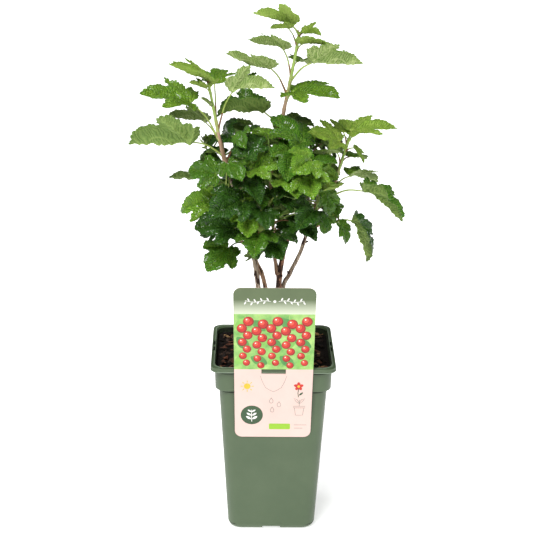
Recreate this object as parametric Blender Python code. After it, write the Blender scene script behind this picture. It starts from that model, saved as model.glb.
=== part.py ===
"""A young red currant bush in its tall square nursery pot, with a hang label over the rim.

Metres, +Z up. The origin is the middle of the pot's underside and the label side faces -Y.
Five canes leave the soil. Each mass of foliage is one leafy shoot: a stem, its leaf stalks
and its lobed leaves, set round the stem by a spiral rule and fused into one solid.
"""
import math
import random

import bmesh
import bpy
from mathutils import Vector
from mathutils.bvhtree import BVHTree

for old in list(bpy.data.objects):
    bpy.data.objects.remove(old, do_unlink=True)

# Gap kept between neighbouring solids
GAP = 0.0003

# Pot: a square moulding with rounded corners, a collar and a folded rim
POT_WIDTH = 0.130
POT_HEIGHT = 0.195
POT_WALL = 0.0012
RIM_RADIUS = 0.011
BODY_RADIUS = 0.013
RIM_HALF = POT_WIDTH / 2
RIM_SKIRT = 0.0053
RIM_LIP = 0.0008
COLLAR_HALF = 0.0607
COLLAR_DRAFT = 0.0006
COLLAR_HEIGHT = 0.0275
STEP_HEIGHT = 0.0020
BODY_TOP_HALF = 0.0562
BODY_FOOT_HALF = 0.0467
FOOT_CHAMFER = 0.0058
CHANNEL_WIDTH = 0.0190
CHANNEL_HEIGHT = 0.0038
CENTRE_PAD = 0.030
DRAIN_WIDTH = 0.0036
DRAIN_LENGTH = 0.013
RIM_HOLE_WIDTH = 0.0016
RIM_HOLE_LENGTH = 0.0046
RIM_HOLE_PITCH = 0.0066
CORNER_STEPS = 4

# Soil: the fill, a finger's breadth under the rim
SOIL_TOP = POT_HEIGHT - 0.010

# Hang label: a stiff card that leans on the rim, held by a tab folded over it
CARD_THICK = 0.0006
CARD_TOP_WIDTH = 0.083
CARD_FOOT_WIDTH = 0.079
CARD_CORNER = 0.0075
CARD_LOW = 0.1150
CARD_HIGH = 0.2865
CARD_LEAN = math.radians(8.5)
SLOT_WIDTH = 0.0250
TAB_WIDTH = 0.0240
TAB_DROP = 0.010

# Leaf: lobed outline in units of the blade's length, from the stalk up the right side
LEAF_HALF_OUTLINE = ((0.34, -0.12), (0.63, 0.38), (0.40, 0.56))
LEAF_TIP = (0.0, 1.0)
LEAF_HEART = (0.0, 0.42)
LEAF_THICK = 0.0007
LEAF_CUP = 0.20
STALK_WIDTH = 0.0018
CLEARANCE = 0.0005

# Canes: points from the soil up, in mm from the pot's axis and the soil, and mm across
CANES = {
    "cane_left": dict(
        points=((-7, -3, 0), (-16, -1, 75), (-21, 0, 108), (-36, 1, 162), (-49, 0, 203)),
        foot=6.2, tip=3.6),
    "cane_back": dict(
        points=((1, 8, 0), (-9, 7, 75), (-21, 8, 108), (-35, 20, 150), (-41, 28, 176)),
        foot=6.0, tip=2.9),
    "cane_middle": dict(
        points=((4, -6, 0), (5, -4, 75), (8, -5, 106), (16, -6, 135), (33, -5, 153), (52, -3, 170)),
        foot=8.4, tip=3.2),
    "cane_top": dict(
        points=((3, -2.2, 99), (0.5, 0.5, 112), (-1, 6, 150), (3, 6, 200), (6, 4, 235)),
        foot=3.6, tip=3.3),
    "cane_right": dict(
        points=((10, 5, 0), (10, 4, 70), (17, 4, 90), (29, 5, 117), (36, 5, 150), (33, 4, 190)),
        foot=5.6, tip=3.0),
}
CANE_FLARE = 0.35
CANE_FLARE_HEIGHT = 0.010
CANE_SIDES = 7
CANE_STEP = 0.014
STEM_SIDES = 5
STEM_STEP = 0.016

# Shoots: the cane each leaves, how far up it (1 is its tip), the stem's points after that in
# mm, the number of side twigs, and the spiral rule for the leaves: how many, first azimuth,
# stalk and blade in mm. The leaves that set the outline and the front come first, each as share
# of the stem, azimuth and rise of the stalk, its length, the turn of the blade from the stalk,
# the blade's length, its pitch, its roll, how far each half folds up from the midrib, and the
# tip's droop in hundredths of the length. Azimuth 0 is +X, 90 the back and 270 the label side.
# A positive roll turns the face to the leaf's own right. Angles are in degrees.
SHOOTS = {
    "shoot_left": dict(
        cane="cane_left", share=1.0, stem=((-57, -2, 236), (-61, -2, 257), (-68, -3, 293)), twigs=0,
        leaves=((0.15, 185, 25, 38, 0, 61, 0, 20, 40, 3), (0.30, 185, 55, 52, 0, 50, 12, -18, 22, 5),
                (0.45, 350, 70, 44, 0, 41, 14, -25, 60, 10), (1.00, 195, 60, 3, 0, 40, 29, -4, 26, 10),
                (0.55, 100, 72, 40, -25, 30, 20, 0, 20, 10), (0.88, 215, 45, 9, -20, 17, 20, 0, 40, 0),
                (0.72, 190, 30, 4, 0, 12, 45, 0, 40, 0), (0.22, 122, 34, 42, 58, 38, 12, 13, 38, 5),
                (0.06, 60, 35, 32, 0, 40, -12, 0, 25, 15),
                (0.10, 100, 30, 12, 80, 24, 8, 0, 30, 10)),
        spiral=(0, 0, 0, 0)),
    "shoot_top": dict(
        cane="cane_top", share=1.0, stem=((8, 3, 262), (15, 0, 300), (22, 0, 341)), twigs=0,
        leaves=((1.00, 190, 48, 13, 0, 38, 25, 20, 38, 15), (0.92, 205, 62, 21, 0, 21, 12, 10, 30, 15),
                (0.97, 330, 60, 12, 20, 24, 0, 4, 36, 15), (0.84, 15, 58, 13, -15, 33, 11, -20, 25, 44),
                (0.60, 192, 74, 29, 0, 36, 18, 10, 32, 3), (0.42, 190, 58, 34, 0, 44, 7, 17, 18, -18),
                (0.55, 350, 42, 32, 0, 47, 2, -19, 40, 6), (0.28, 335, 66, 20, 0, 49, 6, 8, 12, 14),
                (0.03, 150, 45, 32, 35, 46, 1, 4, 46, 8), (0.68, 60, 30, 14, 0, 26, 0, 0, 25, 25)),
        spiral=(0, 0, 0, 0)),
    "shoot_right": dict(
        cane="cane_middle", share=1.0, stem=((60, -3, 184), (66, -4, 208), (74, -5, 235)), twigs=0,
        leaves=((1.00, 5, 75, 11, 0, 45, 10, 8, 12, 12), (0.93, 112, 55, 16, -32, 28, 14, 0, 22, 10),
                (0.86, 215, 50, 13, -20, 36, 26, -25, 15, 10), (0.86, 300, 35, 14, 20, 18, -50, 0, 20, 10),
                (0.62, 250, 50, 20, -65, 25, 8, 20, 12, 15), (0.25, 355, 38, 22, 35, 34, -12, -4, 36, 10),
                (0.10, 350, 17, 39, 0, 49, -27, -6, 38, 8), (0.05, 290, -5, 12, 0, 16, -30, 0, 20, 15),
                (0.66, 40, 20, 12, 0, 24, -5, 0, 20, 15)),
        spiral=(0, 0, 0, 0)),
    "foliage_left_back": dict(
        cane="cane_back", share=1.0, stem=((-50, 38, 198), (-56, 46, 222)), twigs=2,
        leaves=((0.30, 210, 0, 45, -5, 26, 20, 30, 15, 15),),
        spiral=(13, 120, 28, 42)),
    "foliage_left_front": dict(
        cane="cane_left", share=0.66, stem=((-42, -18, 160), (-50, -32, 190)), twigs=2,
        leaves=((1.00, 285, 70, 31, 15, 26, -15, 20, 15, 20), (0.90, 225, 57, 28, -30, 30, 8, -55, 10, 20),
                (0.94, 75, 68, 27, 115, 28, 8, -15, 18, 15), (0.45, 165, 35, 24, -5, 42, -8, -30, 12, 20),
                (0.62, 300, 35, 27, -75, 40, -5, -30, 15, 20)),
        spiral=(11, 215, 24, 34)),
    "foliage_left_low": dict(
        cane="cane_back", share=0.66, stem=((-34, -6, 128), (-42, -16, 150)), twigs=2,
        leaves=((0.75, 262, 25, 24, -70, 39, 10, -35, 12, 20), (0.97, 215, -25, 16, -20, 22, -10, -30, 15, 20),
                (0.36, 225, -5, 22, 5, 34, -25, -32, 22, 15)),
        spiral=(9, 150, 24, 38)),
    "foliage_middle_left": dict(
        cane="cane_left", share=0.86, stem=((-34, -14, 202), (-32, -22, 232)), twigs=1,
        leaves=((0.72, 275, 25, 30, 140, 32, 35, 10, 15, 15), (0.40, 20, 10, 20, 0, 32, 8, 25, 15, 15)),
        spiral=(11, 300, 22, 34)),
    "foliage_middle_front": dict(
        cane="cane_top", share=0.56, stem=((-4, -22, 186), (-6, -36, 222)), twigs=2,
        leaves=((0.78, 230, 10, 22, 148, 34, 13, 28, 15, 10), (0.50, 300, -20, 18, 50, 32, -12, 20, 15, 20)),
        spiral=(13, 200, 24, 34)),
    "foliage_middle_back": dict(
        cane="cane_top", share=0.50, stem=((2, 34, 186), (4, 52, 222)), twigs=2,
        leaves=(), spiral=(13, 80, 30, 40)),
    "foliage_low_front": dict(
        cane="cane_middle", share=0.50, stem=((-2, -22, 148), (-6, -34, 176)), twigs=2,
        leaves=((0.60, 240, 10, 29, 20, 36, -10, 0, 20, 20), (0.50, 265, 15, 18, 15, 37, -6, 30, 15, 20),
                (0.90, 240, 15, 20, 45, 26, -20, 0, 15, 20), (1.00, 335, 30, 17, 75, 34, 10, 20, 20, 15),
                (0.72, 320, 10, 34, -20, 30, -8, 25, 35, 25)),
        spiral=(9, 160, 22, 34)),
    "foliage_low_back": dict(
        cane="cane_top", share=0.25, stem=((10, 34, 140), (14, 54, 172)), twigs=2,
        leaves=(), spiral=(10, 70, 28, 40)),
    "foliage_right_top": dict(
        cane="cane_right", share=1.0, stem=((34, -2, 208), (36, -8, 234)), twigs=2,
        leaves=((1.00, 235, 12, 20, -100, 44, 35, 0, 8, 10), (0.93, 20, 45, 14, 0, 28, 10, 0, 20, 15),
                (0.55, 250, 10, 24, 95, 34, 10, 10, 15, 15)),
        spiral=(12, 300, 24, 36)),
    "foliage_right_front": dict(
        cane="cane_right", share=0.80, stem=((40, -24, 160), (44, -38, 186)), twigs=2,
        leaves=((1.00, 240, 65, 46, 0, 32, -5, -40, 15, 20), (0.92, 275, 65, 32, 35, 32, -10, 20, 15, 20),
                (0.75, 330, 60, 19, -30, 24, -80, 0, 20, 10), (0.50, 320, 25, 12, -30, 20, -70, 0, 15, 15)),
        spiral=(9, 200, 22, 32)),
    "foliage_right_back": dict(
        cane="cane_right", share=0.70, stem=((46, 32, 164), (52, 50, 196)), twigs=2,
        leaves=(), spiral=(12, 50, 30, 40)),
    "foliage_right_low": dict(
        cane="cane_right", share=0.74, stem=((48, -7, 147), (64, -14, 152)), twigs=1,
        leaves=((1.00, 345, 8, 17, 0, 44, -64, -10, 32, 5),
                (0.84, 320, 10, 14, 30, 22, -58, 0, 20, 10)),
        spiral=(3, 60, 20, 30)),
}

# The body of the crown: ruled leaves keep their tips inside this ellipsoid, in mm, which
# leans with the slope of the crown's top; and the spread of their fold and droop
BODY_CENTRE = Vector((-4, 2, 184))
BODY_REACH = Vector((79, 92, 73))
BODY_TILT = 0.15
RULED_FOLD = (6, 32)
RULED_DROOP = (10, 30)

# Stems and side twigs in mm, and the spiral that the ruled leaves follow up a stem
STEM_WIDTH = 3.6
STEM_TIP_WIDTH = 2.0
TWIG_WIDTH = 1.8
TWIG_LENGTH = 30
TWIG_RISE = 32
SPIRAL_STEP = 144.0
SPIRAL_START = 0.10
TRIES = 300


def principled(name, color, roughness):
    material = bpy.data.materials.new(name)
    material.use_nodes = True
    shader = material.node_tree.nodes["Principled BSDF"]
    shader.inputs["Base Color"].default_value = (*color, 1.0)
    shader.inputs["Roughness"].default_value = roughness
    shader.inputs["Metallic"].default_value = 0.0
    material.diffuse_color = (*color, 1.0)
    return material


def collection(name):
    made = bpy.data.collections.new(name)
    bpy.context.scene.collection.children.link(made)
    return made


parts = collection("potted_currant")
cutters = collection("cutters")


def add_object(name, mesh, material=None, where=parts):
    made = bpy.data.objects.new(name, mesh)
    where.objects.link(made)
    if material is not None:
        mesh.materials.append(material)
    return made


def mesh_from(bm, name):
    bmesh.ops.recalc_face_normals(bm, faces=bm.faces)
    mesh = bpy.data.meshes.new(name)
    bm.to_mesh(mesh)
    bm.free()
    return mesh


def mesh_of(shape, name):
    """A mesh from (corners, faces), facing out."""
    verts, faces = shape
    bm = bmesh.new()
    made = [bm.verts.new(vert) for vert in verts]
    for face in faces:
        bm.faces.new([made[i] for i in face])
    return mesh_from(bm, name)


def tool_box(name, centre, size):
    """A hidden box that cuts or joins another object."""
    bm = bmesh.new()
    bmesh.ops.create_cube(bm, size=1.0)
    bmesh.ops.scale(bm, vec=size, verts=bm.verts)
    bmesh.ops.translate(bm, vec=centre, verts=bm.verts)
    box = add_object(name, mesh_from(bm, name), where=cutters)
    box.hide_render = True
    box.display_type = "WIRE"
    return box


def combine(target, tool, operation):
    modifier = target.modifiers.new(tool.name, "BOOLEAN")
    modifier.operation = operation
    modifier.object = tool


# Pot and soil are lofts between rounded squares

def rounded_square(bm, half, radius, z):
    ring = []
    reach = (half - radius) * math.sqrt(2)
    for corner in range(4):
        start = corner * math.pi / 2
        cx = reach * math.cos(start + math.pi / 4)
        cy = reach * math.sin(start + math.pi / 4)
        for step in range(CORNER_STEPS + 1):
            angle = start + step / CORNER_STEPS * math.pi / 2
            ring.append(bm.verts.new((cx + radius * math.cos(angle), cy + radius * math.sin(angle), z)))
    return ring


def loft_square(name, sections, material):
    """Skin the (half width, corner radius, height) sections and close both ends."""
    bm = bmesh.new()
    rings = [rounded_square(bm, *section) for section in sections]
    count = len(rings[0])
    for low, high in zip(rings, rings[1:]):
        for i in range(count):
            j = (i + 1) % count
            bm.faces.new((low[i], low[j], high[j], high[i]))
    bm.faces.new(rings[0])
    bm.faces.new(rings[-1])
    return add_object(name, mesh_from(bm, name), material)


FLOOR_TOP = CHANNEL_HEIGHT + POT_WALL
STEP_LOW = POT_HEIGHT - COLLAR_HEIGHT - STEP_HEIGHT
STEP_TOP = POT_HEIGHT - COLLAR_HEIGHT


def inner_sections(shrink, low, high):
    """The inside of the pot's wall from low to high, set in by shrink."""
    inset = POT_WALL + shrink
    radius = BODY_RADIUS - inset
    low_collar = COLLAR_HALF - COLLAR_DRAFT - inset
    top_collar = low_collar + COLLAR_DRAFT * (high - STEP_TOP) / COLLAR_HEIGHT
    return [
        (BODY_FOOT_HALF - inset, radius, low),
        (BODY_TOP_HALF - inset, radius, STEP_LOW + shrink),
        (low_collar, radius, STEP_TOP + shrink),
        (top_collar, radius, high),
    ]


def build_pot():
    under_flange = POT_HEIGHT - POT_WALL
    skirt_low = POT_HEIGHT - RIM_SKIRT
    outside = [
        (BODY_FOOT_HALF - FOOT_CHAMFER, BODY_RADIUS, 0.0),
        (BODY_FOOT_HALF - FOOT_CHAMFER * 0.3, BODY_RADIUS, FOOT_CHAMFER * 0.3),
        (BODY_FOOT_HALF, BODY_RADIUS, FOOT_CHAMFER),
        (BODY_TOP_HALF, BODY_RADIUS, STEP_LOW),
        (COLLAR_HALF - COLLAR_DRAFT, BODY_RADIUS, STEP_TOP),
        (COLLAR_HALF, BODY_RADIUS, under_flange),
        (RIM_HALF - POT_WALL, RIM_RADIUS, under_flange),
        (RIM_HALF - POT_WALL, RIM_RADIUS, skirt_low),
        (RIM_HALF, RIM_RADIUS, skirt_low),
        (RIM_HALF, RIM_RADIUS, POT_HEIGHT - RIM_LIP),
        (RIM_HALF - RIM_LIP, RIM_RADIUS, POT_HEIGHT),
        (COLLAR_HALF, RIM_RADIUS, POT_HEIGHT),
    ]
    inside = inner_sections(0.0, FLOOR_TOP, POT_HEIGHT - 3 * RIM_LIP)
    material = principled("pot_plastic", (0.145, 0.215, 0.125), 0.42)
    pot = loft_square("pot", outside + inside[::-1], material)
    cut_underside(pot)
    cut_rim_holes(pot)
    return pot


def cut_underside(pot):
    """Four channels run in from the sides to a pad in the middle, each with a drain slot."""
    outer_end = BODY_FOOT_HALF + CHANNEL_HEIGHT
    length = outer_end - CENTRE_PAD / 2
    middle = (outer_end + CENTRE_PAD / 2) / 2
    for number in range(4):
        across = number % 2
        angle = number * math.pi / 2
        along = Vector((math.cos(angle), math.sin(angle), 0))
        channel = Vector((length, CHANNEL_WIDTH, 2 * CHANNEL_HEIGHT))
        drain = Vector((DRAIN_LENGTH, DRAIN_WIDTH, 6 * POT_WALL))
        if across:
            channel.xy = channel.yx
            drain.xy = drain.yx
        combine(pot, tool_box(f"channel_{number}", along * middle, channel), "DIFFERENCE")
        floor = along * middle + Vector((0, 0, CHANNEL_HEIGHT))
        combine(pot, tool_box(f"drain_{number}", floor, drain), "DIFFERENCE")


def cut_rim_holes(pot):
    """Two small holes side by side through the rim at the left and at the right."""
    flange_middle = (COLLAR_HALF + RIM_HALF - POT_WALL) / 2
    for side in (-1, 1):
        for end in (-1, 1):
            centre = (side * flange_middle, end * RIM_HOLE_PITCH / 2, POT_HEIGHT)
            size = (RIM_HOLE_WIDTH, RIM_HOLE_LENGTH, 6 * POT_WALL)
            combine(pot, tool_box(f"rim_hole_{side}_{end}", centre, size), "DIFFERENCE")


def build_soil():
    material = principled("soil", (0.045, 0.028, 0.018), 0.95)
    return loft_square("soil", inner_sections(GAP, FLOOR_TOP + GAP, SOIL_TOP), material)


# Label card: a tapered plate with a slot, and the tab that hooks over the rim

def card_outline(length):
    corners = (
        (CARD_FOOT_WIDTH / 2, 0.0, -90),
        (CARD_TOP_WIDTH / 2, length, 0),
        (-CARD_TOP_WIDTH / 2, length, 90),
        (-CARD_FOOT_WIDTH / 2, 0.0, 180),
    )
    outline = []
    for x, y, turn in corners:
        cx = x - math.copysign(CARD_CORNER, x)
        cy = y - CARD_CORNER if y else CARD_CORNER
        for step in range(5):
            angle = math.radians(turn + step * 22.5)
            outline.append((cx + CARD_CORNER * math.cos(angle), cy + CARD_CORNER * math.sin(angle)))
    return outline


def build_card():
    hold = POT_HEIGHT - RIM_SKIRT
    slope = math.tan(CARD_LEAN)
    along = 1 / math.cos(CARD_LEAN)
    hold_y = RIM_HALF + GAP + CARD_THICK / 2 * along
    slot_low = (hold + GAP - CARD_LOW) * along
    slot_high = (POT_HEIGHT + GAP - CARD_LOW) * along
    slot = [(-SLOT_WIDTH / 2, slot_low), (-SLOT_WIDTH / 2, slot_high),
            (SLOT_WIDTH / 2, slot_high), (SLOT_WIDTH / 2, slot_low)]
    curve = bpy.data.curves.new("label_card", "CURVE")
    curve.dimensions = "2D"
    curve.fill_mode = "BOTH"
    curve.extrude = CARD_THICK / 2
    for loop in (card_outline((CARD_HIGH - CARD_LOW) * along), slot):
        spline = curve.splines.new("POLY")
        spline.points.add(len(loop) - 1)
        for point, (x, y) in zip(spline.points, loop):
            point.co = (x, y, 0, 1)
        spline.use_cyclic_u = True
    flat = add_object("label_flat", curve)
    flat.location = (0, -hold_y + (hold - CARD_LOW) * slope, CARD_LOW)
    flat.rotation_euler = (math.pi / 2 + CARD_LEAN, 0, 0)
    bpy.context.view_layer.update()
    depsgraph = bpy.context.evaluated_depsgraph_get()
    bm = bmesh.new()
    bm.from_mesh(bpy.data.meshes.new_from_object(flat.evaluated_get(depsgraph)))
    bm.transform(flat.matrix_world)
    bmesh.ops.remove_doubles(bm, verts=bm.verts, dist=1e-6)
    bpy.data.objects.remove(flat, do_unlink=True)
    paper = principled("label_card", (0.80, 0.76, 0.66), 0.40)
    card = add_object("label_card", mesh_from(bm, "label_card"), paper)
    front = -hold_y - (POT_HEIGHT + GAP - hold) * slope
    back = -(COLLAR_HALF - COLLAR_DRAFT / 2 - POT_WALL - GAP - CARD_THICK)
    tab_top = POT_HEIGHT + GAP + CARD_THICK
    over = ((0, (front + back) / 2, tab_top - CARD_THICK / 2), (TAB_WIDTH, back - front, CARD_THICK))
    down = ((0, back - CARD_THICK / 2, tab_top - TAB_DROP / 2), (TAB_WIDTH, CARD_THICK, TAB_DROP))
    combine(card, tool_box("tab_over", *over), "UNION")
    combine(card, tool_box("tab_down", *down), "UNION")
    return card


# Limbs: tubes swept along smooth paths

def above_soil(point):
    """A point in mm from the pot's axis and the soil, in metres."""
    x, y, z = point
    return Vector((x / 1000, y / 1000, SOIL_TOP + GAP + z / 1000))


def smooth_path(points, step):
    """Points about step apart on the smooth curve through the given points."""
    path = []
    last = len(points) - 1
    for i in range(last):
        before = points[max(i - 1, 0)]
        here = points[i]
        there = points[i + 1]
        after = points[min(i + 2, last)]
        count = max(1, round((there - here).length / step))
        for k in range(count):
            t = k / count
            out = (there - before) * 0.5
            into = (after - here) * 0.5
            path.append(
                here * (2 * t ** 3 - 3 * t ** 2 + 1) + out * (t ** 3 - 2 * t ** 2 + t)
                + there * (3 * t ** 2 - 2 * t ** 3) + into * (t ** 3 - t ** 2))
    path.append(points[-1].copy())
    return path


def tube(path, radii, sides):
    """A closed tube: (corners, faces)."""
    verts = []
    faces = []
    last = len(path) - 1
    across = (path[1] - path[0]).orthogonal().normalized()
    for i, point in enumerate(path):
        along = (path[min(i + 1, last)] - path[max(i - 1, 0)]).normalized()
        across = (across - along * across.dot(along)).normalized()
        beside = along.cross(across)
        for k in range(sides):
            angle = 2 * math.pi * k / sides
            verts.append(point + (across * math.cos(angle) + beside * math.sin(angle)) * radii[i])
    for i in range(last):
        for k in range(sides):
            j = (k + 1) % sides
            faces.append((i * sides + k, i * sides + j, (i + 1) * sides + j, (i + 1) * sides + k))
    faces.append(tuple(range(sides))[::-1])
    faces.append(tuple(range(last * sides, (last + 1) * sides)))
    return verts, faces


def cane_path(name):
    cane = CANES[name]
    path = smooth_path([above_soil(point) for point in cane["points"]], CANE_STEP)
    rise = path[-1].z - path[0].z
    radii = []
    for point in path:
        height = point.z - path[0].z
        radii.append((cane["foot"] + (cane["tip"] - cane["foot"]) * height / rise) / 2000)
    if cane["points"][0][2] == 0:
        foot = path[0]
        path.insert(1, foot + Vector((0, 0, 0.0015)))
        radii.insert(1, radii[0])
        path[2].xy = path[2].xy * 0.5 + path[1].xy * 0.5
        for i, point in enumerate(path):
            height = point.z - foot.z
            radii[i] *= 1 + CANE_FLARE * math.exp(-height / CANE_FLARE_HEIGHT)
    return path, radii


def path_at(path, share):
    """Point and direction at a share of the path's length."""
    lengths = [0.0]
    for a, b in zip(path, path[1:]):
        lengths.append(lengths[-1] + (b - a).length)
    wanted = share * lengths[-1]
    for i in range(len(path) - 1):
        if lengths[i + 1] >= wanted - 1e-9:
            t = (wanted - lengths[i]) / (lengths[i + 1] - lengths[i])
            return path[i].lerp(path[i + 1], t), (path[i + 1] - path[i]).normalized(), i + t
    return path[-1].copy(), (path[-1] - path[-2]).normalized(), len(path) - 1.0


def heading(azimuth):
    angle = math.radians(azimuth)
    return Vector((math.cos(angle), math.sin(angle), 0))


UP = Vector((0, 0, 1))


def stem_path(shoot, canes):
    """The shoot's stem, its first end a gap away from the cane that carries it."""
    path, radii = canes[shoot["cane"]]
    start, along, index = path_at(path, shoot["share"])
    onward = [above_soil(point) for point in shoot["stem"]]
    if shoot["share"] == 1.0:
        foot = start + along * GAP
        points = [foot, foot + along * 0.004] + onward
    else:
        side = onward[0] - start
        side = (side - along * side.dot(along)).normalized()
        reach = radii[int(index)] + GAP
        foot = start + side * reach
        points = [foot, foot + side * 0.003 + along * 0.0004] + onward
    stem = smooth_path(points, STEM_STEP)
    last = len(stem) - 1
    widths = [STEM_WIDTH + (STEM_TIP_WIDTH - STEM_WIDTH) * i / last for i in range(last + 1)]
    return stem, [width / 2000 for width in widths]


def side_twigs(stem, shoot, seed, obstacles):
    """Twigs that branch from the stem by turns to its left and right, where there is room."""
    twigs = []
    for i in range(shoot["twigs"]):
        dice = random.Random(seed * 100 + 50 + i)
        foot = path_at(stem, 0.40 + 0.30 * i)[0]
        run = heading(shoot["spiral"][1] + 75 + 150 * i + dice.uniform(-20, 20))
        climb = math.radians(TWIG_RISE + dice.uniform(-12, 12))
        length = TWIG_LENGTH / 1000 * dice.uniform(0.8, 1.2)
        reach = (run * math.cos(climb) + UP * math.sin(climb)) * length
        twig = [foot, foot + reach * 0.5 + UP * 0.002, foot + reach]
        radius = TWIG_WIDTH / 2000
        if not touches(tree_of(tube(twig, [radius + CLEARANCE] * 3, 3)), obstacles):
            twigs.append((twig, [radius, radius, radius * 0.8]))
    return twigs


# Leaves: the spiral rule, each leaf's frame, and its blade and stalk

def spiral_rows(seed, count, first, stalk, blade):
    """Leaves up a stem: the lower ones longer stalked, larger and more drooping."""
    rows = []
    for i in range(count):
        dice = random.Random(seed * 100 + i)
        share = SPIRAL_START + (1 - SPIRAL_START) * i / max(count - 1, 1)
        azimuth = first + SPIRAL_STEP * i + dice.uniform(-14, 14)
        rise = 8 + 50 * share ** 1.4 + dice.uniform(-8, 8)
        size = 1.05 - 0.35 * share ** 2
        rows.append((share, azimuth, rise, stalk * size * dice.uniform(0.8, 1.2),
                     dice.uniform(-25, 25), blade * size * dice.uniform(0.88, 1.1),
                     -28 + 32 * share + dice.uniform(-16, 16), dice.uniform(-34, 34),
                     dice.uniform(*RULED_FOLD), dice.uniform(*RULED_DROOP)))
    return rows


def leaf_frame(limb, row, dice, spread):
    """Stalk path, blade origin, forward and face directions, length, fold and droop of a leaf.

    A spread above 0 moves the leaf at random from its row, to find it a clear place.
    """
    share, azimuth, rise, stalk, swing, blade, pitch, roll, fold, droop = row
    if spread:
        share = min(1.0, max(SPIRAL_START, share + dice.uniform(-0.3, 0.3) * spread))
        azimuth += dice.uniform(-1, 1) * (3 + 160 * spread)
        rise += dice.uniform(-1, 1) * (2 + 40 * spread)
        stalk *= 1 + dice.uniform(-0.5, 1.0) * spread
        blade *= 1 - dice.uniform(0.0, 0.4) * spread
        pitch += dice.uniform(-1, 1) * (2 + 40 * spread)
        roll += dice.uniform(-1, 1) * (3 + 50 * spread)
    foot = path_at(limb, share)[0]
    run = heading(azimuth)
    climb = math.radians(rise)
    base = foot + (run * math.cos(climb) + UP * math.sin(climb)) * stalk / 1000
    ahead = heading(azimuth + swing)
    dip = math.radians(pitch)
    forward = ahead * math.cos(dip) + UP * math.sin(dip)
    level = UP * math.cos(dip) - ahead * math.sin(dip)
    turn = math.radians(roll)
    normal = level * math.cos(turn) + forward.cross(level) * math.sin(turn)
    bow = (foot + base) / 2 + (UP * 0.10 - run * 0.02) * stalk / 1000
    neck = base + (bow - base).normalized() * min(0.0025, stalk / 4000)
    return [foot, bow, neck], base, forward, normal, blade / 1000, math.radians(fold), droop / 100


def in_body(frame):
    """Whether the tip of a leaf stays inside the body of the crown."""
    _, base, forward, normal, length, _, droop = frame
    tip = base + (forward - normal * droop) * length
    off = (tip - above_soil(BODY_CENTRE)) * 1000
    off.z -= BODY_TILT * off.x
    return sum((off[k] / BODY_REACH[k]) ** 2 for k in range(3)) < 1.0


def leaf_shape(frame, thick, radius, with_stalk=True):
    """The blade as a thin plate that grows out of its three-sided stalk: (corners, faces)."""
    path, base, forward, normal, length, fold, droop = frame
    right = forward.cross(normal)
    joint = (radius / length, 0.0)
    half = [joint] + list(LEAF_HALF_OUTLINE)
    outline = half + [LEAF_TIP] + [(-x, y) for x, y in half[::-1]] + [LEAF_HEART]
    verts = []
    for offset in (thick / 2, -thick / 2):
        for x, y in outline:
            across = x * math.cos(fold)
            lift = abs(x) * math.sin(fold) - LEAF_CUP * x * x - droop * y * y
            verts.append(base + (right * across + forward * y + normal * lift) * length + normal * offset)
    count = len(outline)
    rim = count - 1
    faces = []
    for i in range(rim):
        j = (i + 1) % rim
        faces.append((rim, i, j))
        faces.append((count + rim, count + j, count + i))
        if j:
            faces.append((i, count + i, count + j, j))
    if not with_stalk:
        faces.append((rim - 1, count + rim - 1, count, 0))
        return verts, faces
    first = len(verts)
    up = normal
    for i, point in enumerate(path[::-1]):
        towards = base if i == 0 else path[-i]
        along = (towards - point).normalized()
        up = (up - along * up.dot(along)).normalized()
        beside = along.cross(up)
        for angle in (0, 120, 240):
            turn = math.radians(angle)
            verts.append(point + (up * math.cos(turn) + beside * math.sin(turn)) * radius * 1.15)
    top, low_right, low_left = first, first + 1, first + 2
    faces += [(top, rim - 1, 0), (top, 0, count, low_right), (low_right, count, count + rim - 1, low_left),
              (low_left, count + rim - 1, rim - 1, top)]
    for ring in range(len(path) - 1):
        for k in range(3):
            here = first + 3 * ring
            faces.append((here + k, here + (k + 1) % 3, here + 3 + (k + 1) % 3, here + 3 + k))
    faces.append(tuple(range(len(verts) - 3, len(verts))))
    return verts, faces


def tree_of(shape):
    verts, faces = shape
    low = Vector([min(vert[k] for vert in verts) for k in range(3)])
    high = Vector([max(vert[k] for vert in verts) for k in range(3)])
    return BVHTree.FromPolygons(verts, faces), low, high


def touches(one, others):
    tree, low, high = one
    for other, other_low, other_high in others:
        apart = any(low[k] > other_high[k] or high[k] < other_low[k] for k in range(3))
        if not apart and tree.overlap(other):
            return True
    return False


def plan_leaves(limbs, stems, obstacles):
    """Every shoot's leaves that find a clear place, the outline leaves first."""
    plans = {name: [] for name in SHOOTS}
    taken = list(obstacles)
    jobs = []
    for number, (name, shoot) in enumerate(SHOOTS.items()):
        jobs += [(0, number, name, 0, row) for row in shoot["leaves"]]
        ruled = enumerate(spiral_rows(number + 1, *shoot["spiral"]))
        jobs += [(1 + k, number, name, k % len(limbs[name]), row) for k, row in ruled]
    jobs.sort(key=lambda job: job[:2])
    thick = LEAF_THICK + 2 * CLEARANCE
    radius = STALK_WIDTH / 2 + CLEARANCE
    for order, (rank, _, name, limb, row) in enumerate(jobs):
        own = stems[name]
        others = [tree for other in stems for tree in stems[other] if other != name]
        dice = random.Random(order)
        for attempt in range(TRIES):
            frame = leaf_frame(limbs[name][limb][0], row, dice, attempt / TRIES)
            if rank and not in_body(frame):
                continue
            leaf = tree_of(leaf_shape(frame, thick, radius))
            if touches(leaf, taken) or touches(leaf, others):
                continue
            if touches(tree_of(leaf_shape(frame, thick, radius, with_stalk=False)), own):
                continue
            plans[name].append(frame)
            taken.append(leaf)
            break
    return plans


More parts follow.
